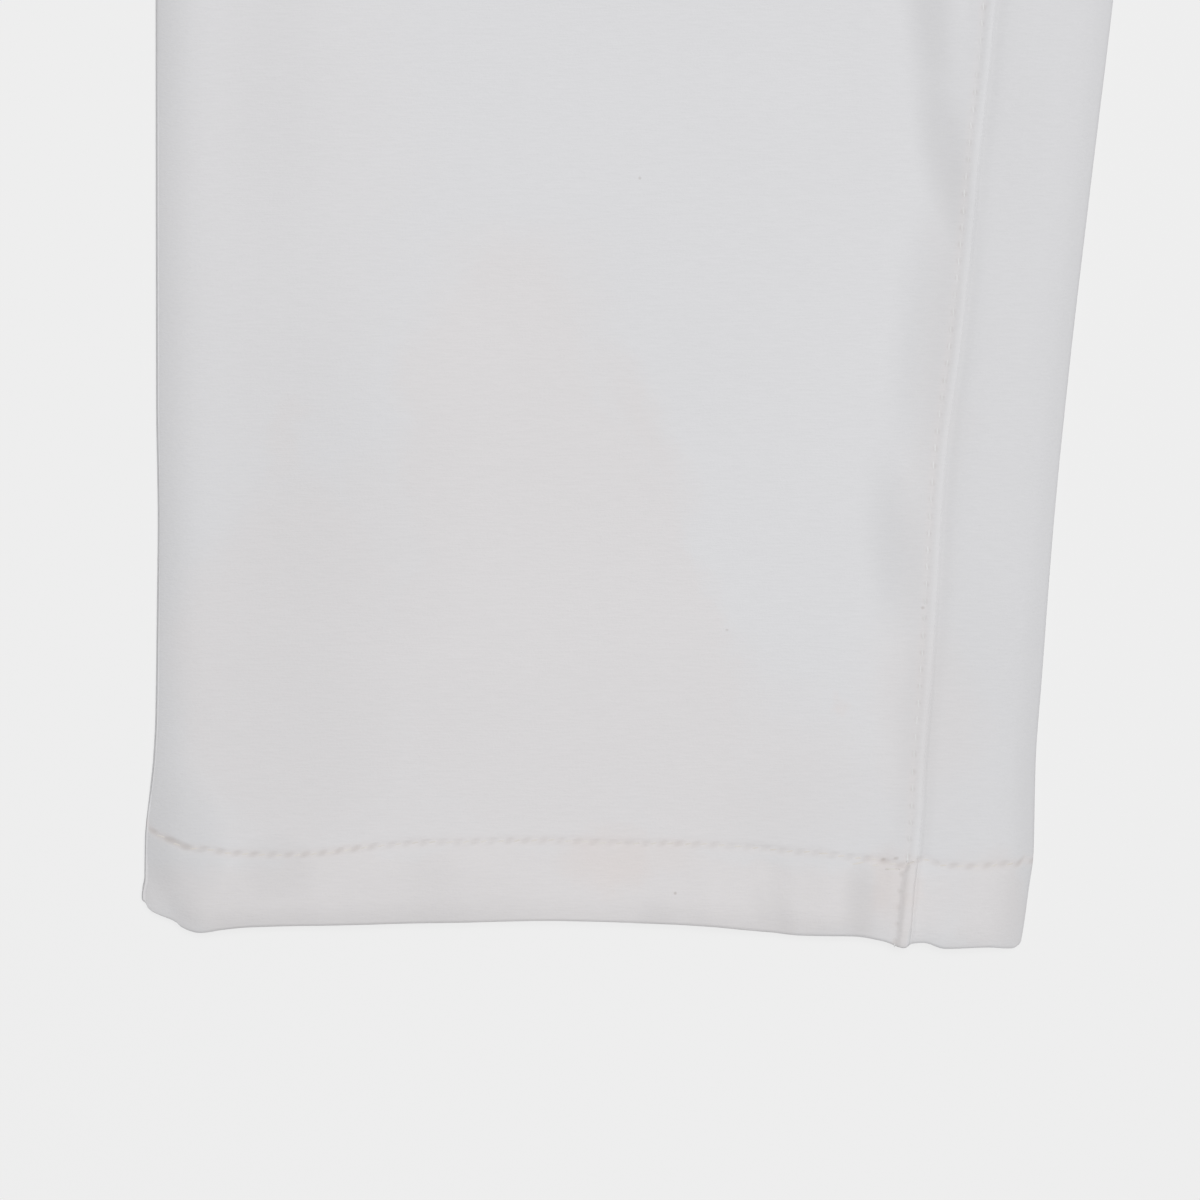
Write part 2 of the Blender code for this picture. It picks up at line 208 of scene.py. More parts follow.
HEM_ROW = (
    (0.0000, 0.0196), (0.0058, 0.0189), (0.0131, 0.0199), (0.0209, 0.0178), (0.0336, 0.0168),
    (0.0415, 0.0171), (0.0538, 0.0184), (0.0680, 0.0191), (0.0956, 0.0190), (0.1113, 0.0187),
    (0.1271, 0.0193), (0.1460, 0.0197), (0.1570, 0.0198), (0.1684, 0.0187), (0.1870, 0.0198),
    (0.1970, 0.0193), (0.2040, 0.0201), (0.2064, 0.0198), (0.2079, 0.0188),
)
ROW_UP = 0.0190
HEM_TURN = 0.0008
HEM_ALLOWANCE = 0.0165
HEM_BEHIND = 0.0009
STITCH_PITCH = 0.0040

# How much painted shade greys the hem's folded edge, from the outer fold to the inner one
HEM_EDGE_SHADE = (
    (0.000, 1.00), (0.050, 0.90), (0.075, 0.75), (0.098, 0.45), (0.118, 0.45), (0.130, 0.75),
    (0.168, 0.85), (0.180, 0.40), (0.205, 0.30),
)

CLOTH_THICKNESS = 0.0007
# How far the painted shade reaches in from a side fold, and how much greyer the back panels are
FOLD_SHADE_REACH = 0.0110
BACK_SHADE = 0.42
# From the inseam's folded edge to its stitches, above the hem and in it. The
# hem's layers fade out over the few millimetres round its row
EDGE_STITCH_IN, HEM_STITCH_IN = 0.0026, 0.0036
LAYERS_END, LAYERS_FADE = 0.0175, 0.0030
# How far the hem's face comes down to its fold, over and under, and its row's groove
HEM_DROP, HEM_RISE_UNDER, HEM_ROUNDED = 0.0009, 0.0004, 0.0065
ROW_GROOVE, ROW_GROOVE_WIDTH = 0.0003, 0.0010
# How deep the plain seams roll in, at the centre and at the waistband
CENTRE_ROLL, WAIST_ROLL = 0.0009, 0.0016
# Points closer than this are one
MERGED = 2e-5

# The left front laps over the right one at the fly
FLY_LAP = 0.008
FLY_WIDTH = 0.036

# Creases, each along a line that bows to one side. Widths are to the side
# further out or up, then to the other
Crease = namedtuple("Crease", "out height to_out to_height bow plus minus lift")
RIGHT_CREASES = (
    # Beside the inseam of the right leg, where its allowance pulls
    (0.106, 0.3, 0.0965, 0.15, 0.0012, 0.008, 0.012, -0.0026),
    (0.101, 0.19, 0.1125, 0.052, 0.0, 0.0085, 0.008, -0.0019),
    (0.1235, 0.285, 0.1215, 0.165, 0.0, 0.006, 0.005, 0.0003),
    # Ripples of the right hem, where it was pulled as it was stitched
    (0.256, -0.004, 0.26, 0.032, 0.0, 0.007, 0.006, -0.00055),
    (0.233, -0.004, 0.23, 0.03, 0.0, 0.006, 0.006, -0.0007),
    (0.216, -0.004, 0.219, 0.03, 0.0, 0.006, 0.005, 0.0006),
    (0.183, -0.004, 0.18, 0.032, 0.0, 0.005, 0.006, -0.0006),
    (0.159, -0.004, 0.162, 0.03, 0.0, 0.0045, 0.0045, 0.0006),
    (0.142, -0.004, 0.149, 0.028, 0.0, 0.0038, 0.0045, -0.0012),
    (0.1315, -0.004, 0.1325, 0.03, 0.0, 0.004, 0.004, 0.00055),
    (0.119, -0.004, 0.1215, 0.03, 0.0, 0.005, 0.0036, -0.001),
    (0.0985, -0.004, 0.097, 0.03, 0.0, 0.005, 0.004, 0.0005),
    (0.2985, 0.024, 0.279, 0.0, 0.0, 0.004, 0.004, -0.0012),
    # The broad forms of the right leg
    (0.242, 0.3, 0.244, 0.04, 0.003, 0.018, 0.015, 0.0006),
    (0.05, 0.405, 0.15, 0.44, 0.006, 0.018, 0.018, 0.00266),
    (0.285, 0.48, 0.19, 0.455, -0.004, 0.02, 0.016, 0.00228),
    (0.09, 0.5, 0.2, 0.53, 0.003, 0.02, 0.018, -0.0019),
    (0.03, 0.735, 0.17, 0.65, 0.008, 0.024, 0.02, 0.00323),
    (0.02, 0.775, 0.19, 0.76, -0.006, 0.018, 0.015, -0.00228),
    (0.015, 0.8, 0.17, 0.86, 0.008, 0.02, 0.017, 0.00285),
    # Smaller creases at its knee, thigh and crotch
    (0.052, 0.372, 0.124, 0.38, 0.005, 0.007, 0.005, -0.0018),
    (0.06, 0.448, 0.118, 0.474, -0.004, 0.006, 0.009, -0.0016),
    (0.285, 0.412, 0.225, 0.43, 0.004, 0.006, 0.009, -0.0016),
    (0.286, 0.545, 0.23, 0.52, -0.003, 0.008, 0.006, 0.0014),
    (0.15, 0.33, 0.162, 0.255, 0.005, 0.011, 0.008, 0.0012),
    (0.014, 0.758, 0.09, 0.7, 0.006, 0.006, 0.009, -0.0019),
    (0.012, 0.792, 0.098, 0.8, 0.005, 0.008, 0.006, -0.0018),
    (0.035, 0.7, 0.085, 0.61, 0.006, 0.008, 0.01, -0.0016),
    (0.28, 0.8, 0.19, 0.82, 0.005, 0.01, 0.013, 0.0014),
    (0.255, 0.89, 0.17, 0.9, -0.004, 0.012, 0.01, -0.0012),
)
# The same places on the left leg, each a little different
LEFT_CREASES = (
    (0.116, 0.29, 0.101, 0.14, 0.0008, 0.0042, 0.006, -0.0014),
    (0.112, 0.116, 0.115, 0.05, 0.0035, 0.005, 0.0036, -0.0009),
    (0.205, -0.004, 0.204, 0.032, 0.0, 0.005, 0.006, -0.00045),
    (0.176, -0.004, 0.177, 0.03, 0.0, 0.005, 0.0045, 0.00035),
    (0.152, -0.004, 0.15, 0.032, 0.0, 0.004, 0.005, -0.0005),
    (0.127, -0.004, 0.126, 0.03, 0.0, 0.004, 0.0045, -0.00045),
    (0.255, -0.004, 0.257, 0.03, 0.0, 0.006, 0.005, -0.00035),
    (0.2985, 0.024, 0.279, 0.0, 0.0, 0.004, 0.004, -0.001),
    (0.23, 0.31, 0.242, 0.08, 0.004, 0.02, 0.016, 0.0006),
    (0.055, 0.375, 0.17, 0.415, 0.007, 0.02, 0.017, 0.00266),
    (0.28, 0.44, 0.18, 0.47, 0.005, 0.018, 0.015, 0.00209),
    (0.03, 0.745, 0.18, 0.69, 0.007, 0.022, 0.019, 0.00304),
    (0.1, 0.6, 0.21, 0.57, -0.005, 0.022, 0.018, -0.0018),
    (0.02, 0.79, 0.16, 0.84, 0.007, 0.018, 0.015, 0.00247),
    (0.25, 0.82, 0.15, 0.79, -0.005, 0.02, 0.016, -0.0018),
    (0.056, 0.345, 0.12, 0.366, 0.005, 0.006, 0.008, -0.0016),
    (0.07, 0.43, 0.135, 0.446, -0.005, 0.008, 0.006, -0.0018),
    (0.284, 0.395, 0.22, 0.404, 0.003, 0.007, 0.009, -0.0014),
    (0.285, 0.5, 0.24, 0.482, -0.003, 0.006, 0.008, 0.0014),
    (0.14, 0.31, 0.155, 0.225, 0.006, 0.009, 0.011, 0.0012),
    (0.012, 0.762, 0.1, 0.722, 0.006, 0.006, 0.008, -0.0018),
    (0.04, 0.69, 0.095, 0.625, 0.006, 0.009, 0.007, -0.0016),
    (0.276, 0.85, 0.205, 0.858, 0.004, 0.011, 0.009, 0.0012),
)
CREASES = {-1: RIGHT_CREASES, 1: LEFT_CREASES}


def ease(share):
    """0 to 1, level at both ends."""
    share = np.clip(share, 0.0, 1.0)
    return share * share * (3.0 - 2.0 * share)


def round_rise(share):
    """How far a quarter round has risen, a share of the way in from its edge."""
    return np.sqrt(1.0 - (1.0 - np.clip(share, 0.0, 1.0)) ** 2)


def curve_through(points, places):
    """A smooth curve through (place, value) pairs that never overshoots them."""
    at, value = np.array(points).T
    step = np.diff(at)
    slope = np.diff(value) / step
    same_way = slope[:-1] * slope[1:]
    bends = np.divide(
        2 * same_way, slope[:-1] + slope[1:], out=np.zeros_like(same_way), where=same_way > 0
    )
    tangent = np.concatenate((slope[:1], bends, slope[-1:])) * np.append(step, step[-1])
    end_tangent = np.concatenate((slope[:1], bends, slope[-1:]))[1:] * step
    k = np.clip(np.searchsorted(at, places, side="right") - 1, 0, len(step) - 1)
    t = np.clip((places - at[k]) / step[k], 0.0, 1.0)
    return (
        value[k] * (1 + 2 * t) * (1 - t) ** 2
        + tangent[k] * t * (1 - t) ** 2
        + value[k + 1] * t * t * (3 - 2 * t)
        + end_tangent[k] * t * t * (t - 1)
    )


def hem_height(out, row):
    """The height of a place, from its row's distance above the folded edge of the hem."""
    inward = HEM_START - out
    stretch = (curve_through(HEM_ROW, inward) - ROW_UP) * np.clip(row / ROW_UP, 0.0, 1.0)
    stretch = stretch * (1.0 - ease((row - ROW_UP) / 0.012))
    return row + stretch + curve_through(HEM_EDGE, inward) * (1.0 - ease((row - 0.022) / 0.045))


def settle(place_out, row):
    """Places across and their heights, which depend on each other near the hem."""
    height = row
    for _ in range(4):
        out = place_out(height)
        height = hem_height(out, row)
    return out, height


def inseam(height):
    """How far out from the centre line the inseam lies, on the top face."""
    run = ease((CROTCH - height) / SEAM_RUN)
    return curve_through(INNER_FOLD, height) + curve_through(SEAM_IN, height) * run


def creased(leg, out, height):
    """How far the creases raise or sink the top face."""
    total = np.zeros_like(out)
    for crease in map(Crease._make, CREASES[leg]):
        along = Vector((crease.to_out - crease.out, crease.to_height - crease.height))
        steep = abs(along.y) > abs(along.x)
        across = Vector((along.y, -along.x)).normalized()
        if (across.x if steep else across.y) < 0:
            across = -across
        from_start = (out - crease.out, height - crease.height)
        share = (from_start[0] * along.x + from_start[1] * along.y) / along.length_squared
        aside = from_start[0] * across.x + from_start[1] * across.y
        aside = aside - crease.bow * 4 * share * (1 - share)
        section = bump_at(aside, np.where(aside > 0, crease.plus, crease.minus))
        total += crease.lift * section * ease(share / 0.35) * ease((1 - share) / 0.35)
    return total


def uneven(leg, out, height):
    """The slight unevenness of cloth that was folded and shaken out."""
    start = 0.7 + leg
    waves = (
        (0.00022, 11.0, 47.0, 0.3),
        (0.00018, 63.0, -21.0, 1.9),
        (0.00013, -38.0, 96.0, 4.1),
        (0.00009, 129.0, 58.0, 2.2),
    )
    return sum(
        depth * np.sin(across * out + up * height + turn + start * up / 40)
        for depth, across, up, turn in waves
    )


def edge_stitch(row):
    """How far the edge stitch lies from the inseam's fold, which is wider in the thick hem."""
    return HEM_STITCH_IN + (EDGE_STITCH_IN - HEM_STITCH_IN) * ease((row - 0.0170) / 0.0040)


def in_layers(row):
    """1 in the layers of the turned-up hem, 0 above them."""
    return 1.0 - ease((row - LAYERS_END) / LAYERS_FADE)


def bump_at(place, width):
    """A soft round bump at 0, which has sunk to a third at its width."""
    return np.exp(-((place / width) ** 2))


def seam_lift(beside, row):
    """How the folded edge at the inseam stands up, more through the layers of the hem."""
    stitch = edge_stitch(row)
    in_hem = in_layers(row)
    allowance = 0.00025 * (1.0 - ease((beside - 0.0045) / 0.0080))
    ridge = 0.00021 * np.sin(math.pi / 2 * np.clip(beside / 0.0007, 0.0, 1.0))
    ridge = ridge * (1.0 - ease((beside - stitch + 0.0017) / 0.0017))
    pulled = 0.00012 * bump_at(beside - stitch, 0.0011 + 0.0003 * in_hem)
    return allowance + (ridge - pulled) * (1.0 + 1.3 * in_hem)


def strip_dip(beside):
    """How the back dips beside the inseam, rises to the front's edge, and goes under it."""
    valley = 0.00018 * ease((beside + 0.0048) / 0.0032)
    meets = 0.00038 * ease((beside + 0.0012) / 0.0012)
    return valley - meets + 0.0011 * ease(beside / 0.0009)


def over_rise(inward):
    """How far the top face has risen, going in from a fold: a tight turn, then a long round."""
    tight = TIGHT_SHARE * round_rise(inward / TIGHT_TURN)
    return tight + (1.0 - TIGHT_SHARE) * (1.0 - np.clip(1.0 - inward / ROUND_OVER, 0.0, 1.0) ** 2)


def fly_lift(leg, out, height):
    """The left front rides up over the right one beside the fly."""
    closed = ease((height - FLY_FOOT + 0.035) / 0.035)
    if leg > 0:
        return closed * (
            0.0014 * (1.0 - ease((out - FLY_WIDTH) / 0.020)) - 0.0010 * (1 - round_rise(out / 0.0012))
        )
    return -closed * 0.0010 * (1.0 - ease(out / 0.015))


def lay_cloth(leg, out, height, row, inset, is_over, is_front):
    """Places points of the leg's flattened tube, on its top or its under face.

    inset is the depth below the face, for the cloth that is turned up inside.
    """
    top = curve_through(TOP_FACE, height)
    middle = curve_through(FOLD_UP, height)
    round_in = np.where(is_over, ROUND_OVER, ROUND_UNDER)
    from_outer = curve_through(OUTER_FOLD, height) - out
    reach = np.hypot(out, height - CROTCH) + 1e-9
    below = height <= CROTCH
    from_inner = np.where(below, out - curve_through(INNER_FOLD, height), reach)
    rise = np.where(
        is_over,
        over_rise(from_outer) * over_rise(from_inner),
        round_rise(from_outer / ROUND_UNDER) * round_rise(from_inner / ROUND_UNDER),
    )

    hem_edge = (1.0 - np.clip(row / HEM_ROUNDED, 0.0, 1.0)) ** 2
    hem_row = bump_at(row - ROW_UP, ROW_GROOVE_WIDTH)
    over = top + creased(leg, out, height) + uneven(leg, out, height)
    over = over - HEM_DROP * hem_edge - ROW_GROOVE * hem_row
    shows = ease((CROTCH - height) / 0.060)
    beside = out - inseam(height)
    if is_front:
        over = over + shows * seam_lift(beside, row) + fly_lift(leg, out, height)
    else:
        over = over - shows * strip_dip(beside)
    under = ROW_GROOVE * hem_row + HEM_RISE_UNDER * hem_edge

    # Plain seams roll inwards, at the centre and, above the legs, at the waistband
    centre = np.where(below, 1.0, round_rise(np.abs(out) / 0.0011))
    rolled = CENTRE_ROLL * (1.0 - centre) + WAIST_ROLL * ease((row - WAIST + 0.0015) / 0.0025)
    over = over - rolled
    under = under + rolled
    up = np.where(is_over, middle + (over - inset - middle) * rise, middle + (under + inset - middle) * rise)

    turn_out = inset * np.clip(1.0 - from_outer / round_in, 0.0, 1.0)
    turn_in = inset * np.clip(1.0 - from_inner / round_in, 0.0, 1.0)
    turn_out = turn_out + 0.0007 * (1.0 - ease(from_outer / 0.00006))
    across = out - turn_out + turn_in * np.where(below, 1.0, out / reach)
    waist = 1.0 - np.clip(out / curve_through(OUTER_FOLD, WAIST), -1.0, 1.0) ** 2
    waist = waist * (-FRONT_DIP if is_front else BACK_RISE) * ease((height - 0.86) / (WAIST - 0.86))
    along = height + waist + turn_in * np.where(below, 0.0, (height - CROTCH) / reach)
    along = along + np.where(is_over, 0.0, HEM_BEHIND * (1.0 - ease(row / 0.04)))
    return np.stack((leg * across, along - LENGTH / 2, up), axis=-1)


def hem_turn(cut):
    """The row and inset of cloth that is turned up inside, by its distance from the fold."""
    quarter = HEM_TURN * math.pi / 2
    turn = np.clip(cut / HEM_TURN, -math.pi / 2, math.pi / 2)
    row = HEM_TURN * (1 - np.cos(turn)) + np.clip(np.abs(cut) - quarter, 0.0, None)
    return row, HEM_TURN * (1 - np.sin(turn))


def cloth_rows():
    """Places up a leg's cloth from its cut edge: turned up, round the fold, then to the waist."""
    quarter = HEM_TURN * math.pi / 2
    runs = (
        (-quarter, 3), (quarter, 4), (0.0160, 5), (0.0220, 6), (0.0290, 3), (0.240, 62),
        (CROTCH, 78), (WAIST - 0.001, 32), (WAIST + 0.003, 3),
    )
    rows = [-quarter - HEM_ALLOWANCE]
    for up_to, steps in runs:
        rows += list(np.linspace(rows[-1], up_to, steps + 1)[1:])
    return rows


def painted_shade_share(out, height, row, is_over, is_front):
    """How much painted shade greys the cloth: along its folds, its hem's edge and the dips of its seams, and
    a little over the back panels.
    """
    outer = 1.0 - ease((curve_through(OUTER_FOLD, height) - out) / FOLD_SHADE_REACH)
    from_inner = np.where(height < CROTCH, out - curve_through(INNER_FOLD, height), 1.0)
    inner = (1.20 - 0.45 * ease(height / 0.170)) * (1.0 - ease(from_inner / FOLD_SHADE_REACH))
    hem = curve_through(HEM_EDGE_SHADE, HEM_START - out) * (1.0 - ease(row / 0.0070))
    beside = out - inseam(height)
    in_hem = in_layers(row)
    if is_front:
        dip = (0.42 + 0.05 * in_hem) * bump_at(beside - edge_stitch(row) - 0.0002, 0.0016)
        dip = dip + 0.45 * (1.0 - in_hem) * bump_at(beside - 0.0048, 0.0024)
        whole = 0.0
    else:
        dip = (1.0 - in_hem) * bump_at(beside + 0.0012, 0.0024)
        whole = BACK_SHADE * (1.0 - 0.85 * in_hem)
    dip = dip * ease((CROTCH - height) / 0.06) * is_over
    return np.maximum.reduce((outer, inner, hem, dip, np.full(out.shape, whole)))


def flat_cloth(columns, dense):
    """A flat grid of cloth: x counts the columns and y is the distance from the hem's fold."""
    rows = cloth_rows()
    bm = bmesh.new()
    bmesh.ops.create_grid(bm, x_segments=columns, y_segments=len(rows) - 1, size=0.5)
    for vert in bm.verts:
        vert.co.x = (vert.co.x + 0.5) * columns
        vert.co.y = rows[round((vert.co.y + 0.5) * (len(rows) - 1))]
    for low, high in dense:
        edges = [e for e in bm.edges if all(low < v.co.y < high for v in e.verts)]
        bmesh.ops.subdivide_edges(bm, edges=edges, cuts=1, use_grid_fill=True)
    return bm


def lay_on(bm, leg, place_out, is_over, is_front):
    """Lays a flat grid as part of a leg, and maps it to the rows of stitches beside it."""
    column, cut = np.array([vert.co[:2] for vert in bm.verts]).T
    row, inset = hem_turn(cut)
    out, height = settle(lambda up: place_out(column, up), row)
    points = lay_cloth(leg, out, height, row, inset, is_over(column), is_front)
    rows = {
        "hem_row": np.stack(((HEM_START - out) / STITCH_PITCH, (row - ROW_UP) / STITCH_PITCH), -1),
        "edge_row": np.stack(
            (height / STITCH_PITCH, (out - inseam(height) - edge_stitch(row)) / STITCH_PITCH), -1
        ),
    }
    bm.verts.index_update()
    for name, places in rows.items():
        layer = bm.loops.layers.uv.new(name)
        for face in bm.faces:
            for loop in face.loops:
                loop[layer].uv = places[loop.vert.index]
    # Painted shade, kept for the cloth's colour: greyer along the folds, the hem's edge and the seams' dips
    shade_shares = painted_shade_share(out, height, row, is_over(column), is_front)
    painted_shade = bm.verts.layers.float.new("painted_shade")
    for vert, point, share in zip(bm.verts, points, shade_shares):
        vert.co = point
        vert[painted_shade] = share
    bmesh.ops.remove_doubles(bm, verts=bm.verts[:], dist=MERGED)


# Round the side fold, in degrees, then beside the inseam, in metres from its edge
FOLD_TURNS = (0.0, 2.5, 6.0, 11.0, 18.0, 26.0, 38.0, 52.0, 70.0, 90.0)
BESIDE_SEAM = (
    0.0125, 0.0092, 0.0070, 0.0056, 0.0045, 0.0037, 0.0031, 0.0026, 0.0021, 0.0016,
    0.0011, 0.0007, 0.0004, 0.0002, 0.00005, 0.0,
)
MIDDLE_COLUMNS = 44


def front_place(leg, column, height):
    """Places across a front, from the outseam to the inseam, the centre seam or the fly."""
    outer = curve_through(OUTER_FOLD, height)
    lap = FLY_LAP * ease((height - FLY_FOOT) / 0.025) if leg < 0 else 0.0
    end = np.where(height > CROTCH, -lap, inseam(height))
    turn = np.radians(np.interp(column, range(len(FOLD_TURNS)), FOLD_TURNS))
    fold = outer - ROUND_OVER * (1 - np.cos(turn))
    first = len(FOLD_TURNS) - 1
    last = first + MIDDLE_COLUMNS
    share = (column - first) / MIDDLE_COLUMNS
    flat = outer - ROUND_OVER + (end + BESIDE_SEAM[0] - outer + ROUND_OVER) * share
    near = end + np.interp(column - last, range(len(BESIDE_SEAM)), BESIDE_SEAM)
    return np.where(column < first, fold, np.where(column < last, flat, near))


# Stretch double weave of polyester with a matt face: a very fine crosswise
# grain, hardly any sheen, and pale warm marks where the hem has been worn
# The grey paints shade along the folds and in the hollows; the darkest colour paints the shade in the
# stitches' dimples and colours the dark specks
CLOTH, SOIL, SHADE_GREY, SPECK_AND_DIMPLE_SHADE = "#D6D6D8", "#D7CECB", "#A4A3A4", "#8F8378"
SHADE_GREY_MOST = 0.13
GRAIN_LENGTH, GRAIN_WIDTH = 0.004, 0.0005
# The nap shows every 0.7 mm, wide clouds every 60 mm and blotches every 18 mm
NAP_SCALE, CLOUD_SCALE, BLOTCH_SCALE = 1400.0, 17.0, 55.0
# How far the stains' edges and the dimples stray: in metres, and in stitches
STRAY = (0.022, 0.022, 0.0)
DIMPLE_STRAY = (0.35, 0.12, 0.0)
# Above the table, where the cloth's upper side begins
UPPER_FROM, UPPER_ALL = 0.001, 0.0018

# The dimples of each row of stitches: their size, depth, painted shade and yellowing
Dimples = namedtuple("Dimples", "row long wide depth dark yellowed")
HEM_DIMPLES = Dimples("hem_row", 0.0019, 0.0009, 1.0, 0.105, 0.15)
EDGE_DIMPLES = Dimples("edge_row", 0.001, 0.0008, 0.6, 0.1, 0.1)
DIMPLE_SLANT = math.radians(18)

# Marked places, for stains, painted shade and specks: out, height, half widths across and up, how far they
# lean over to the outseam in degrees, strength, and the share of the way out where they fade
Mark = namedtuple("Mark", "out height across up lean strength fade")
# A mark has faded out at this many of its half widths, and is this deep, which
# is right through the cloth
MARK_END = 1.08
THROUGH = 100.0
STAINS = (
    # The large pale stain, its straight side towards the inseam
    (0.208, 0.118, 0.027, 0.056, 0, 0.21, 0.74),
    (0.183, 0.085, 0.0235, 0.072, 23, 0.21, 0.8),
    (0.2, 0.07, 0.04, 0.056, 0, 0.21, 0.74),
    (0.256, 0.064, 0.033, 0.052, 0, 0.2, 0.7),
    (0.259, 0.12, 0.007, 0.018, 0, 0.18, 0.3),
    (0.207, 0.148, 0.031, 0.028, 0, 0.15, 0.35),
    (0.237, 0.1, 0.014, 0.025, 0, 0.15, 0.3),
    (0.2, 0.042, 0.09, 0.032, 0, 0.18, 0.6),
    (0.176, 0.123, 0.0085, 0.038, 23, 0.24, 0.0),
    # A slight yellowing beside the outseam, and along the hem
    (0.26, 0.178, 0.038, 0.09, 0, 0.07, 0.4),
    (0.198, 0.012, 0.108, 0.015, 0, 0.27, 0.7),
    (0.183, 0.0212, 0.0205, 0.015, 0, 0.54, 0.2),
    (0.1695, 0.0225, 0.015, 0.012, 0, 0.38, 0.15),
    (0.1175, 0.016, 0.0085, 0.014, 0, 0.52, 0.0),
    (0.1155, 0.008, 0.003, 0.015, 0, 0.32, 0.2),
    (0.096, 0.011, 0.014, 0.012, 0, 0.22, 0.5),
    (0.1297, 0.058, 0.003, 0.0042, 0, 0.34, 0.0),
    # Handling has warmed the cloth a little beside the inseam
    (0.108, 0.11, 0.01, 0.1, -5, 0.1, 0.2),
    (0.111, 0.056, 0.018, 0.034, 0, 0.17, 0.3),
)
# Painted shade in the hollows beside the inseam, and darker bands towards the outseam
SHADE_MARKS = (
    (0.108, 0.226, 0.0082, 0.05, 5, 0.225, 0.15),
    (0.1048, 0.19, 0.0078, 0.033, 8, 0.215, 0.15),
    (0.1092, 0.145, 0.0094, 0.044, -6, 0.125, 0.1),
    (0.1164, 0.0955, 0.0088, 0.028, 4, 0.155, 0.1),
    (0.1128, 0.054, 0.0095, 0.028, 0, 0.05, 0.25),
    (0.096, 0.045, 0.02, 0.052, 0, 0.03, 0.4),
    (0.262, 0.195, 0.015, 0.09, 0, 0.036, 0.15),
    (0.258, 0.105, 0.048, 0.085, 0, 0.075, 0.05),
    (0.262, 0.048, 0.04, 0.052, 0, 0.08, 0.25),
    # Along the hem, and in its hollows
    (0.198, 0.044, 0.125, 0.033, 0, 0.026, 0.35),
    (0.135, 0.032, 0.038, 0.022, 0, 0.052, 0.3),
    (0.269, 0.009, 0.025, 0.015, 0, 0.085, 0.35),
    (0.262, 0.019, 0.014, 0.014, 0, 0.15, 0.2),
    (0.228, 0.012, 0.033, 0.013, 0, 0.06, 0.35),
    (0.283, 0.023, 0.014, 0.029, 0, 0.19, 0.15),
    (0.145, 0.008, 0.0062, 0.012, 20, 0.105, 0.15),
    (0.124, 0.012, 0.0062, 0.015, 0, 0.205, 0.1),
    (0.1723, 0.0075, 0.0062, 0.006, 0, 0.085, 0.2),
    (0.176, 0.123, 0.0085, 0.038, 23, 0.01, 0.2),
)
SPECKS = (
    (0.2852, 0.0252, 0.0012, 0.007, 70, 0.22, 0.1),
    (0.1191, 0.0213, 0.0008, 0.0005, 20, 0.3, 0.15),
    (0.1162, 0.0216, 0.0009, 0.0005, 10, 0.3, 0.15),
    (0.1139, 0.014, 0.0009, 0.012, -6, 0.07, 0.15),
    (0.168, 0.0134, 0.0005, 0.0005, 0, 0.35, 0.2),
    (0.1763, 0.1814, 0.0005, 0.0005, 0, 0.25, 0.2),
    (0.1558, 0.0752, 0.0005, 0.0004, 0, 0.22, 0.2),
    (0.1097, 0.0804, 0.0006, 0.0005, 0, 0.3, 0.2),
)
# Where the hem's row is strongest, by the outer fold and by the inseam: more yellowing, and darker painted
# shade in its dimples
ROW_STRONGER = (
    (0.275, 0.02, 0.045, 0.03, 0, 0.65, 0.4),
    (0.115, 0.0205, 0.01, 0.005, 0, 0.4, 0.2),
    (0.095, 0.02, 0.016, 0.03, 0, 0.95, 0.4),
)


def marked(tree, place, marks):
    """How strongly a place is covered by marks on the right leg: soft leaning ellipses."""
    covered = None
    for mark in map(Mark._make, marks):
        ellipse = {
            "Vector": place,
            "Location": (-mark.out, mark.height - LENGTH / 2, 0.0),
            "Rotation": (0.0, 0.0, math.radians(mark.lean)),
            "Scale": (mark.across, mark.up, THROUGH),
        }
        reach = add_node(tree, "Mapping", ellipse, vector_type="TEXTURE")
        reach = add_node(tree, "VectorMath", {0: reach}, "Value", operation="LENGTH")
        fading = {0: reach, 1: mark.fade, 2: MARK_END, 3: mark.strength, 4: 0.0}
        inside = add_node(tree, "MapRange", fading, interpolation_type="SMOOTHSTEP")
        if covered is None:
            covered = inside
        else:
            covered = add_node(tree, "Math", {0: covered, 1: inside}, operation="MAXIMUM")
    return covered


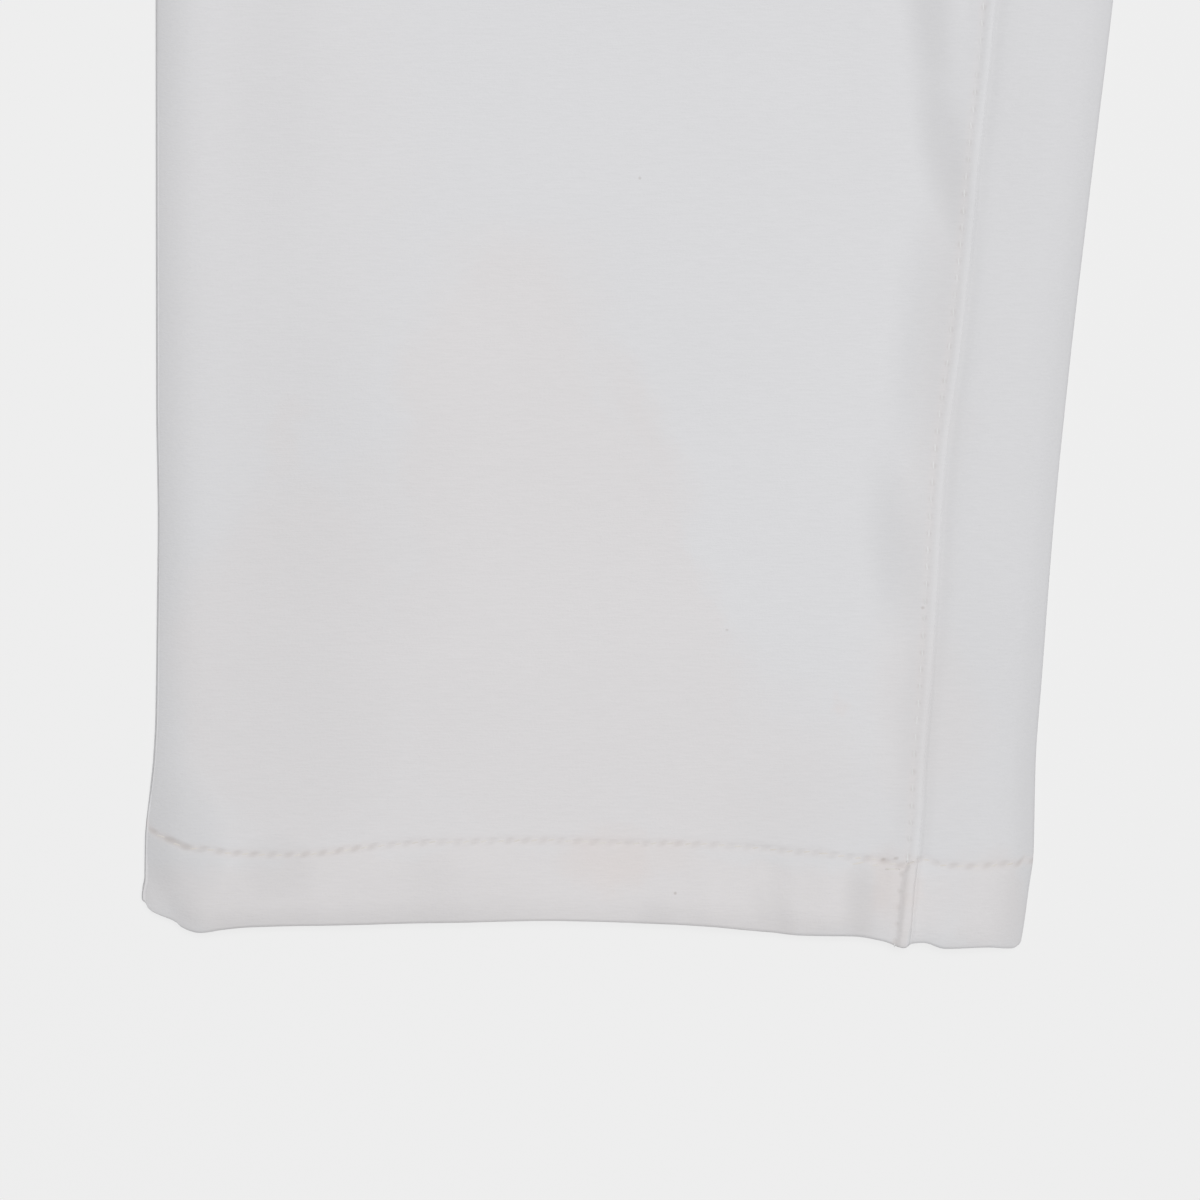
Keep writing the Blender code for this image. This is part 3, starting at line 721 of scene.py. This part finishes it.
def make_cloth(name, has_rows):
    """The trousers' cloth, with puckers round the stitches where it has mapped rows of them."""
    material, tree, shader = new_material(name)
    place = add_node(tree, "TexCoord", gives="Object")

    # Grain: threads that show for a few millimetres crosswise, drawn two threads wide
    threads = (1 / GRAIN_LENGTH, 1 / GRAIN_WIDTH, 1 / GRAIN_WIDTH)
    stretched = add_node(tree, "Mapping", {"Vector": place, "Scale": threads})
    grain = add_node(
        tree, "TexNoise", {"Vector": stretched, "Scale": 1.0, "Detail": 3.0, "Roughness": 0.6}
    )
    nap = add_node(tree, "TexNoise", {"Vector": place, "Scale": NAP_SCALE, "Detail": 1.0})
    cloudy, blotched = (
        add_node(tree, "TexNoise", {"Vector": place, "Scale": scale, "Detail": detail, "Roughness": rough})
        for scale, detail, rough in ((CLOUD_SCALE, 2.0, 0.5), (BLOTCH_SCALE, 5.0, 0.6))
    )
    height = add_node(tree, "Math", {0: nap, 1: 0.5, 2: grain}, operation="MULTIPLY_ADD")

    # Worn marks, whose edges wander a few millimetres
    wander = add_node(
        tree, "VectorMath", {0: blotched.node.outputs["Color"], 1: (0.5, 0.5, 0.5)}, operation="SUBTRACT"
    )
    strayed = add_node(tree, "VectorMath", {0: wander, 1: STRAY, 2: place}, operation="MULTIPLY_ADD")
    soiled = marked(tree, strayed, STAINS)
    colour = add_node(tree, "Mix", {0: soiled, 6: linear(CLOTH), 7: linear(SOIL)}, 2, data_type="RGBA")

    # Tone: the cloth a little lighter and darker, thread by thread and in wide clouds
    tone = add_node(tree, "MapRange", {0: grain, 1: 0.25, 2: 0.75, 3: 0.982, 4: 1.018})
    clouds = add_node(tree, "MapRange", {0: cloudy, 1: 0.3, 2: 0.7, 3: 0.997, 4: 1.006})
    tone = add_node(tree, "Math", {0: tone, 1: clouds}, operation="MULTIPLY")

    if has_rows:
        # Painted shade marks, specks and the inseam's stitches are on the upper side alone
        up = add_node(tree, "SeparateXYZ", {0: place}, "Z")
        upper = add_node(tree, "MapRange", {0: up, 1: UPPER_FROM, 2: UPPER_ALL})
        shade_marked, specked = (
            add_node(tree, "Math", {0: marked(tree, place, marks), 1: upper}, operation="MULTIPLY")
            for marks in (SHADE_MARKS, SPECKS)
        )
        # Painted shade: grey along the folds, the hem's edge and the seams' dips, and in the hollows and
        # bands of the shade marks
        worn = add_node(tree, "Attribute", gives="Fac", attribute_name="painted_shade")
        worn = add_node(tree, "Math", {0: worn, 1: SHADE_GREY_MOST, 2: shade_marked}, operation="MULTIPLY_ADD")
        for share, tint in ((worn, SHADE_GREY), (specked, SPECK_AND_DIMPLE_SHADE)):
            colour = add_node(tree, "Mix", {0: share, 6: colour, 7: linear(tint)}, 2, data_type="RGBA")

        # Each stitch ends in a needle hole, and pulls a slanting dimple round it. The dimples' shade is
        # painted darker, more at some than at others, and the cloth along the row has yellowed
        varied = add_node(tree, "MapRange", {0: blotched, 1: 0.38, 2: 0.62, 3: 0.45, 4: 1.45})
        stronger = add_node(tree, "Math", {0: varied, 1: marked(tree, place, ROW_STRONGER)}, operation="ADD")
        for pulled, where in ((HEM_DIMPLES, 1.0), (EDGE_DIMPLES, upper)):
            strength = add_node(tree, "Math", {0: stronger, 1: where}, operation="MULTIPLY")
            mapped = add_node(tree, "UVMap", uv_map=pulled.row)
            mapped = add_node(
                tree, "VectorMath", {0: wander, 1: DIMPLE_STRAY, 2: mapped}, operation="MULTIPLY_ADD"
            )
            along, aside, _ = add_node(tree, "SeparateXYZ", {0: mapped}).node.outputs
            along = add_node(tree, "Math", {0: along}, operation="FRACT")
            dimple = {
                "Vector": add_node(tree, "CombineXYZ", {0: along, 1: aside}),
                "Location": (0.5, 0.0, 0.0),
                "Rotation": (0.0, 0.0, DIMPLE_SLANT),
                "Scale": (pulled.long / STITCH_PITCH, pulled.wide / STITCH_PITCH, 1.0),
            }
            reach = add_node(tree, "Mapping", dimple, vector_type="TEXTURE")
            reach = add_node(tree, "VectorMath", {0: reach}, "Value", operation="LENGTH")
            pucker = add_node(
                tree, "MapRange", {0: reach, 1: 0.1, 2: 1.1, 3: 1.0, 4: 0.0},
                interpolation_type="SMOOTHSTEP",
            )
            sunk = add_node(tree, "Math", {0: pucker, 1: where}, operation="MULTIPLY")
            height = add_node(
                tree, "Math", {0: sunk, 1: -pulled.depth, 2: height}, operation="MULTIPLY_ADD"
            )
            aside = add_node(tree, "Math", {0: aside}, operation="ABSOLUTE")
            beside = add_node(
                tree, "MapRange", {0: aside, 1: 0.0, 2: 0.5, 3: pulled.yellowed, 4: 0.0},
                interpolation_type="SMOOTHSTEP",
            )
            shaded = add_node(tree, "Math", {0: pucker, 1: pulled.dark}, operation="MULTIPLY")
            for share, tint in ((beside, SOIL), (shaded, SPECK_AND_DIMPLE_SHADE)):
                share = add_node(tree, "Math", {0: share, 1: strength}, operation="MULTIPLY")
                colour = add_node(
                    tree, "Mix", {0: share, 6: colour, 7: linear(tint)}, 2, data_type="RGBA"
                )

    toned = add_node(tree, "VectorMath", {0: colour, 3: tone}, operation="SCALE")
    bump = add_node(tree, "Bump", {"Height": height, "Strength": 0.6, "Distance": 0.00012})
    give(shader, {"Base Color": toned, "Normal": bump, "Roughness": 0.92, "Specular IOR Level": 0.25})
    give(shader, {"Sheen Weight": 0.08, "Sheen Roughness": 0.6})
    return material


def thicken(piece):
    """Gives laid cloth its thickness, inwards."""
    shell = piece.modifiers.new("cloth_thickness", "SOLIDIFY")
    shell.thickness = CLOTH_THICKNESS
    shell.offset = -1.0


leg_cloth = make_cloth("off_white_stretch_double_weave", True)

FRONT_COLUMNS = len(FOLD_TURNS) - 1 + MIDDLE_COLUMNS + len(BESIDE_SEAM) - 1
fronts = {}
for name, leg, dense in (
    ("right", -1, ((-0.002, 0.241), (-0.001, 0.0285))),
    ("left", 1, ((-0.002, 0.060),)),
):
    bm = flat_cloth(FRONT_COLUMNS, dense)
    lay_on(
        bm, leg,
        lambda column, height, leg=leg: front_place(leg, column, height),
        lambda column: np.full(column.shape, True),
        True,
    )
    if leg > 0:
        bmesh.ops.reverse_faces(bm, faces=bm.faces[:])
    front = piece_from(bm, f"{name}_front_panel", leg_cloth)
    thicken(front)
    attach(front, "root")
    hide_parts(f"front_{name}")
    fronts[leg] = front


# ---------------------------------------------------------------- leg backs
# One panel of the same cloth for each leg. It lies flat on the table, rolls
# over the inner fold and shows on top as the strip between fold and inseam.

UNDER_TURNS = (0.0, 4.0, 14.0, 40.0, 90.0)
UNDER_COLUMNS = 20
INNER_TURNS = (90.0, 55.0, 25.0, 8.0, 0.0)
# Shares of the strip's width, from the inner fold to under the front's edge
STRIP_SHARES = (
    0.0, 0.0054, 0.0213, 0.0472, 0.0817, 0.1238, 0.1721, 0.2245, 0.2787, 0.361, 0.444, 0.526,
    0.609, 0.691, 0.765, 0.830, 0.870, 0.895, 0.910, 0.922, 0.932, 0.940, 0.9475, 0.955,
    0.965, 0.980, 1.0,
)
STRIP_UNDER_FRONT = 0.0015
STRIP_START = len(UNDER_TURNS) - 1 + UNDER_COLUMNS + len(INNER_TURNS) - 1
BACK_COLUMNS = STRIP_START + len(STRIP_SHARES) - 1


def back_place(column, height):
    """Places round a back, under from the outseam to the inner fold, then over to the inseam."""
    outer = curve_through(OUTER_FOLD, height)
    inner = curve_through(INNER_FOLD, height)
    first = len(UNDER_TURNS) - 1
    second = first + UNDER_COLUMNS
    outer_turn = np.radians(np.interp(column, range(first + 1), UNDER_TURNS))
    inner_turn = np.radians(np.interp(column - second, range(len(INNER_TURNS)), INNER_TURNS))
    outer_round = outer - ROUND_UNDER * (1 - np.cos(outer_turn))
    inner_round = inner + ROUND_UNDER * (1 - np.cos(inner_turn))
    share = (column - first) / UNDER_COLUMNS
    flat = outer - ROUND_UNDER + (inner - outer + 2 * ROUND_UNDER) * share
    width = np.clip(inseam(height) - inner, 0.0, None)
    width = width + STRIP_UNDER_FRONT * ease(width / 0.006)
    strip = inner + width * np.interp(column - STRIP_START, range(len(STRIP_SHARES)), STRIP_SHARES)
    return np.select(
        (column < first, column < second, column < STRIP_START), (outer_round, flat, inner_round), strip
    )


backs = {}
for name, leg, dense in (
    ("right", -1, ((-0.002, 0.241),)),
    ("left", 1, ((-0.002, 0.060),)),
):
    bm = flat_cloth(BACK_COLUMNS, dense)
    spare = [v for v in bm.verts if v.co.x > STRIP_START + 0.1 and v.co.y > CROTCH + 0.001]
    bmesh.ops.delete(bm, geom=spare, context="VERTS")
    lay_on(bm, leg, back_place, lambda column: column > STRIP_START, False)
    if leg < 0:
        bmesh.ops.reverse_faces(bm, faces=bm.faces[:])
    back = piece_from(bm, f"{name}_back_panel", leg_cloth)
    thicken(back)
    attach(back, "root")
    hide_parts(f"back_{name}")
    backs[leg] = back


# ------------------------------------------------------------- stitched rows
# Lockstitch in spun polyester thread, four millimetres a stitch: one row round
# each hem, one beside each inseam, and the fly's J through the left front, with
# the centre seam below it. Each stitch lies slantwise in the pucker it pulls.

THREAD_HALF = 0.00030
THREAD_FLATNESS = 0.5
# How deep a stitch lies in the cloth, and beside the seam in the thick hem
SUNK, SUNK_IN_HEM = 0.00015, 0.00024
STITCH_SLANT = math.radians(13)
UNEVEN_SLANT = math.radians(3)
UNEVEN_PLACE = 0.00006


def make_thread(name, colour, shade):
    """Spun polyester: matt, slightly hairy, its two plies twisted, so it looks faintly striped."""
    material, tree, shader = new_material(name)
    place = add_node(tree, "TexCoord", gives="Object")
    # Twist: a ply shows every 0.4 mm
    plies = add_node(tree, "TexNoise", {"Vector": place, "Scale": 2500.0, "Detail": 1.0})
    worn = add_node(tree, "TexNoise", {"Vector": place, "Scale": 90.0, "Detail": 2.0})
    share = add_node(tree, "MapRange", {0: worn, 1: 0.3, 2: 0.7, 3: 0.0, 4: 1.0})
    mixed = add_node(tree, "Mix", {0: share, 6: linear(colour), 7: linear(shade)}, 2, data_type="RGBA")
    bump = add_node(tree, "Bump", {"Height": plies, "Strength": 0.5, "Distance": 0.00005})
    give(shader, {"Base Color": mixed, "Normal": bump, "Roughness": 0.75, "Sheen Weight": 0.15})
    return material


aged_thread = make_thread("aged_polyester_thread", "#D6D3D0", "#CEC9C3")
white_thread = make_thread("white_polyester_thread", "#DADADB", "#D0D0D0")

Stitch = namedtuple("Stitch", "middle along normal length")

# One stitch, as a spindle along X that each stitch is a copy of
bm = bmesh.new()
bmesh.ops.create_uvsphere(
    bm, u_segments=6, v_segments=5, radius=1.0, matrix=Matrix.Rotation(math.pi / 2, 4, "Y")
)
spindle = bpy.data.meshes.new("spindle")
bm.to_mesh(spindle)
bm.free()


def sew(name, stitches, material, slant=STITCH_SLANT):
    """A row of stitches as small flattened spindles, joined into one piece."""
    hand = random.Random(name)
    bm = bmesh.new()
    for stitch in stitches:
        bm.from_mesh(spindle)
    bm.verts.ensure_lookup_table()
    count = len(spindle.vertices)
    for k, stitch in enumerate(stitches):
        normal = Vector(stitch.normal).normalized()
        along = Vector(stitch.along)
        along = (along - normal * along.dot(normal)).normalized()
        along = Matrix.Rotation(slant + hand.gauss(0.0, UNEVEN_SLANT), 3, normal) @ along
        across = normal.cross(along)
        long = stitch.length / 2 * (1.0 + hand.uniform(-0.06, 0.06))
        middle = stitch.middle + across * hand.gauss(0.0, UNEVEN_PLACE)
        axes = (along * long, across * THREAD_HALF, normal * THREAD_HALF * THREAD_FLATNESS)
        turned = Matrix(axes).transposed()
        for vert in bm.verts[k * count : (k + 1) * count]:
            vert.co = turned @ vert.co + middle
    threads = piece_from(bm, name, material)
    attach(threads, "root")
    return threads


def stitches_on(piece, places, sink=SUNK, from_below=False, length=0.0027):
    """Stitches lying on a piece of cloth, along a line of (x, y) places."""
    found = []
    way = Vector((0.0, 0.0, 1.0 if from_below else -1.0))
    places = [Vector((*place, 0.0)) for place in places]
    for before, here, after in zip([places[0]] + places, places, places[1:] + [places[-1]]):
        hit, spot, normal, _ = piece.ray_cast(here - way * 0.05, way)
        if hit:
            middle = spot + normal * (THREAD_HALF * 0.2 - sink)
            found.append(Stitch(middle, after - before, normal, length))
    return found


def places_on(leg, out, row, is_front):
    """Places on a leg's face, by their distances out and their rows."""
    is_over = np.full(out.shape, True)
    return lay_cloth(leg, out, hem_height(out, row), row, 0.0, is_over, is_front)[:, :2]


def hem_line(leg, start, stop, is_front, below=0.0):
    """Places along a leg's hem row, one for each stitch."""
    first, last = (HEM_START - start) / STITCH_PITCH, (HEM_START - stop) / STITCH_PITCH
    counts = np.arange(math.ceil(min(first, last)), math.floor(max(first, last)) + 1)
    out = HEM_START - counts * STITCH_PITCH
    return places_on(leg, out, np.full(out.shape, ROW_UP - below), is_front)


rows_on = {}
for name, leg in (("right", -1), ("left", 1)):
    seam = float(inseam(0.02))
    hem = stitches_on(fronts[leg], hem_line(leg, 0.2925, seam + 0.0006, True))
    hem += stitches_on(backs[leg], hem_line(leg, seam - 0.0006, 0.0852, False))
    hem += stitches_on(backs[leg], hem_line(leg, 0.2900, 0.0875, False), from_below=True)
    # The row ends by overlapping its start for a few stitches beside the inseam
    hem += stitches_on(fronts[leg], hem_line(leg, 0.1250, 0.1165, True, below=0.0013), length=0.0036)
    rows_on[leg] = [sew(f"{name}_hem_stitches", hem, aged_thread)]

    height = np.arange(0.5, CROTCH / STITCH_PITCH - 1.0) * STITCH_PITCH
    out = inseam(height) + edge_stitch(height) * ease((CROTCH - height) / 0.03)
    edge = np.stack((leg * out, height - LENGTH / 2), axis=-1)
    edge_stitches = stitches_on(fronts[leg], edge[height > ROW_UP])
    edge_stitches += stitches_on(fronts[leg], edge[height < ROW_UP], sink=SUNK_IN_HEM)
    rows_on[leg].append(sew(f"{name}_inseam_stitches", edge_stitches, white_thread, slant=0.12))


# Down the fly, round the J and down the centre seam
fly_top, fly_bend = WAIST - 0.004, FLY_FOOT + 0.040
fly_in, fly_across, fly_fall = 0.003, FLY_WIDTH - 0.004, 0.046
fly_line = [(FLY_WIDTH - 0.001, up) for up in np.arange(fly_top, fly_bend, -STITCH_PITCH)]
for turn in np.linspace(0.0, math.pi / 2, 15)[1:]:
    fly_line.append((fly_in + fly_across * math.cos(turn), fly_bend - fly_fall * math.sin(turn)))
fly_line += [(fly_in, up) for up in np.arange(FLY_FOOT - 0.010, CROTCH + 0.010, -STITCH_PITCH)]
fly_stitches = stitches_on(fronts[1], places_on(1, *np.array(fly_line).T, True))
rows_on[1].append(sew("fly_stitches", fly_stitches, white_thread, slant=0.08))

for leg in (-1, 1):
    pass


# ----------------------------------------------------------------- waistband
# One strip of the same cloth round the waist, folded double along its top and
# stitched down along its lower edge. Its left end laps over its right end.

BAND_DEPTH = 0.038
BAND_HALF_DEPTH = 0.0011
BAND_TOP_HALF = 0.2150
BAND_FACE = 0.0068
BAND_OVER = 0.0081
BAND_UNDER = 0.0054
UNDERLAP = 0.028
BAND_ROW_UP = 0.0028
BAND_SOFTENED = 0.0012
BAND_STITCH = 0.0029


def band_places():
    """Round the waistband from its under end: place across, turn round a fold, and side."""
    quarter = math.pi / 2
    edge = (0.0, 0.0003, 0.0008, 0.0016, 0.004)
    places = [(UNDERLAP - x, quarter, -1) for x in edge]
    places += [(x, quarter, -1) for x in np.linspace(0.020, -0.196, 46)]
    turns = np.linspace(quarter, -quarter, 17)
    places += [(None, turn, -1) for turn in turns]
    places += [(x, -quarter, -1) for x in np.linspace(-0.200, 0.200, 61)]
    places += [(None, -turn, 1) for turn in turns]
    places += [(x, quarter, 1) for x in np.linspace(0.196, 0.010, 44)]
    return places + [(x, quarter, 1) for x in edge[::-1]]


def band_rows():
    """Shares up the waistband, close together at its edges and along its row of stitches."""
    up = (0.0, 0.0003, 0.0008, 0.0014, 0.0021, 0.0028, 0.0035, 0.0045)
    top = (0.0030, 0.0018, 0.0009, 0.0004, 0.0)
    middle = np.linspace(0.0045, BAND_DEPTH - 0.0030, 9)[1:-1]
    return list(up) + list(middle) + [BAND_DEPTH - x for x in top]


def band_point(place, turn, side, up, face):
    """A point of the waistband's outer face, 1, or of its inner face, -1."""
    share = up / BAND_DEPTH
    waist_half = float(curve_through(OUTER_FOLD, WAIST))
    half = waist_half + (BAND_TOP_HALF - waist_half) * share
    over = turn > 0.0
    from_end = BAND_DEPTH
    if place is None:
        round_in = (ROUND_OVER if over else ROUND_UNDER) - BAND_HALF_DEPTH
        across = side * (half - BAND_HALF_DEPTH - round_in * (1.0 - math.cos(turn)))
    else:
        across = place
        if over:
            from_end = place if side > 0 else UNDERLAP - place
    if side > 0:
        top = BAND_OVER + (BAND_FACE - BAND_OVER) * float(ease((across - 0.032) / 0.030))
    else:
        top = BAND_UNDER + (BAND_FACE - BAND_UNDER) * float(ease((-0.003 - across) / 0.014))
    if not over:
        top = BAND_FACE
    middle = top / 2 if place is None else BAND_FACE / 2
    nearest = min(up, BAND_DEPTH - up, from_end)
    plump = BAND_HALF_DEPTH * float(round_rise(nearest / BAND_SOFTENED))
    plump -= 0.00030 * float(bump_at(up - BAND_ROW_UP, 0.0009))
    wave = 0.00016 * math.sin(across * 61 + side) * math.sin(math.pi * share)
    reach = (top - BAND_HALF_DEPTH - middle + wave) if over else middle - BAND_HALF_DEPTH
    outward = Vector((math.cos(turn) * side if place is None else 0.0, math.sin(turn)))
    x = across + face * plump * outward.x
    z = middle + reach * math.sin(turn) + face * plump * outward.y
    curve = (1.0 - min(abs(across) / half, 1.0) ** 2) * (-FRONT_DIP if over else BACK_RISE)
    if place is None:
        curve *= abs(math.sin(turn))
    return Vector((x, WAIST + 0.0003 + up + curve - LENGTH / 2, z))


places, ups = band_places(), band_rows()
bm = bmesh.new()
bmesh.ops.create_grid(bm, x_segments=len(places) - 1, y_segments=len(ups) - 1, size=0.5)
outer_verts = bm.verts[:]
lining = bmesh.ops.extrude_face_region(bm, geom=bm.faces[:], use_keep_orig=True)
lining_verts = [item for item in lining["geom"] if isinstance(item, bmesh.types.BMVert)]
for face, verts in ((-1, lining_verts), (1, outer_verts)):
    for vert in verts:
        column = round((vert.co.x + 0.5) * (len(places) - 1))
        row = round((vert.co.y + 0.5) * (len(ups) - 1))
        vert.co = band_point(*places[column], ups[row], face)
bmesh.ops.remove_doubles(bm, verts=bm.verts[:], dist=MERGED)
bmesh.ops.recalc_face_normals(bm, faces=bm.faces[:])
band = piece_from(bm, "folded_waistband", make_cloth("waistband_double_weave", False))
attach(band, "root")
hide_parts("waistband")


def band_line(low, high, over):
    """Places along the waistband's lower edge."""
    count = round((high - low) / STITCH_PITCH)
    turn = math.pi / 2 if over else -math.pi / 2
    return [band_point(float(x), turn, 1, BAND_ROW_UP, 1)[:2] for x in np.linspace(low, high, count + 1)]


band_stitches = stitches_on(band, band_line(-0.215, -0.002, True), length=BAND_STITCH)
band_stitches += stitches_on(band, band_line(0.002, 0.215, True), length=BAND_STITCH)
band_stitches += stitches_on(band, band_line(-0.215, 0.215, False), from_below=True, length=BAND_STITCH)
end_up = [(0.0028, band_point(0.0028, math.pi / 2, 1, up, 1).y) for up in np.arange(0.006, 0.037, 0.004)]
band_stitches += stitches_on(band, end_up, length=BAND_STITCH)
band_row = sew("waistband_stitches", band_stitches, white_thread, slant=0.10)


# -------------------------------------------------------- button and its hole
# A cast resin trouser button with four holes, sewn through to the band's right
# end, and the worked buttonhole in the left end that it comes through.

BUTTON_PLACE = Vector((0.0135, WAIST + 0.0003 + BAND_DEPTH / 2 - FRONT_DIP - LENGTH / 2, 0.0083))
HOLE_OUT = 0.0017
HOLE_RADIUS = 0.00095

# Cast polyester resin, polished dull: a soft gloss over a faintly cloudy body
cast_resin, tree, shader = new_material("cast_polyester_resin")
place = add_node(tree, "TexCoord", gives="Object")
cloud = add_node(
    tree, "TexNoise", {"Vector": place, "Scale": 260.0, "Detail": 3.0, "Distortion": 1.5}
)
share = add_node(tree, "MapRange", {0: cloud, 1: 0.3, 2: 0.7, 3: 0.0, 4: 1.0})
clouded = add_node(
    tree, "Mix", {0: share, 6: linear("#D2D0CC"), 7: linear("#C3C0BA")}, 2, data_type="RGBA"
)
scuffed = add_node(tree, "MapRange", {0: cloud, 1: 0.3, 2: 0.7, 3: 0.28, 4: 0.40})
give(shader, {"Base Color": clouded, "Roughness": scuffed, "IOR": 1.55})

# Half of the button's section, from its middle underneath round to its middle on top
section = (
    (0.0, 0.0), (0.0066, 0.0), (0.0078, 0.0004), (0.0084, 0.0011), (0.0085, 0.0018),
    (0.0082, 0.0026), (0.0075, 0.0030), (0.0066, 0.0029), (0.0060, 0.0025), (0.0054, 0.0022),
    (0.0, 0.0021),
)
bm = bmesh.new()
profile = [bm.verts.new((x, 0.0, z)) for x, z in section]
lines = [bm.edges.new(pair) for pair in zip(profile, profile[1:])]
bmesh.ops.spin(
    bm, geom=profile + lines, cent=(0, 0, 0), axis=(0, 0, 1), angle=2 * math.pi, steps=40, use_merge=True
)
bmesh.ops.remove_doubles(bm, verts=bm.verts[:], dist=1e-6)
bmesh.ops.recalc_face_normals(bm, faces=bm.faces[:])
button = piece_from(bm, "resin_button", cast_resin)

bm = bmesh.new()
for x in (-HOLE_OUT, HOLE_OUT):
    for y in (-HOLE_OUT, HOLE_OUT):
        bmesh.ops.create_cone(
            bm, cap_ends=True, segments=16, radius1=HOLE_RADIUS, radius2=HOLE_RADIUS,
            depth=0.010, matrix=Matrix.Translation((x, y, 0.001)),
        )
drills = piece_from(bm, "drills", cast_resin)
cut = button.modifiers.new("holes", "BOOLEAN")
cut.object = drills
cut.solver = "EXACT"
drilled = bpy.data.meshes.new_from_object(button.evaluated_get(bpy.context.evaluated_depsgraph_get()))
button.modifiers.clear()
button.data = drilled
bpy.data.objects.remove(drills)
drilled.transform(Matrix.Translation(BUTTON_PLACE))
drilled.shade_smooth()
drilled.set_sharp_from_angle(angle=math.radians(40))
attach(button, "root")
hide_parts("button")

# Thread through the four holes, in two bars
bars = []
for y in (-HOLE_OUT, HOLE_OUT):
    for beside in (-0.00035, 0.0, 0.00035):
        middle = BUTTON_PLACE + Vector((0.0, y + beside, 0.0024))
        bars.append(Stitch(middle, (1, 0, 0), (0, 0, 1), 2 * HOLE_OUT + 0.0012))
button_thread = sew("button_thread", bars, white_thread, slant=0.0)

# The buttonhole is worked along both sides and barred at its end: places across
# and up from the button's middle, how high each stitch stands, and its length
hole_start, hole_end = BUTTON_PLACE.x - 0.002, BUTTON_PLACE.x + 0.0175
sides = [(x, y, 0.0001, 0.0019) for x in np.arange(hole_start, hole_end, 0.0007) for y in (-0.0011, 0.0011)]
bar = [(hole_end + 0.0003, y, 0.0002, 0.0030) for y in (-0.0008, 0.0, 0.0008)]
worked = []
for x, y, stands, length in sides + bar:
    _, found, normal, _ = band.ray_cast(Vector((x, BUTTON_PLACE.y + y, 0.05)), Vector((0, 0, -1)))
    worked.append(Stitch(found + normal * stands, (0, 1, 0), normal, length))
buttonhole = sew("buttonhole_stitches", worked, white_thread, slant=0.0)
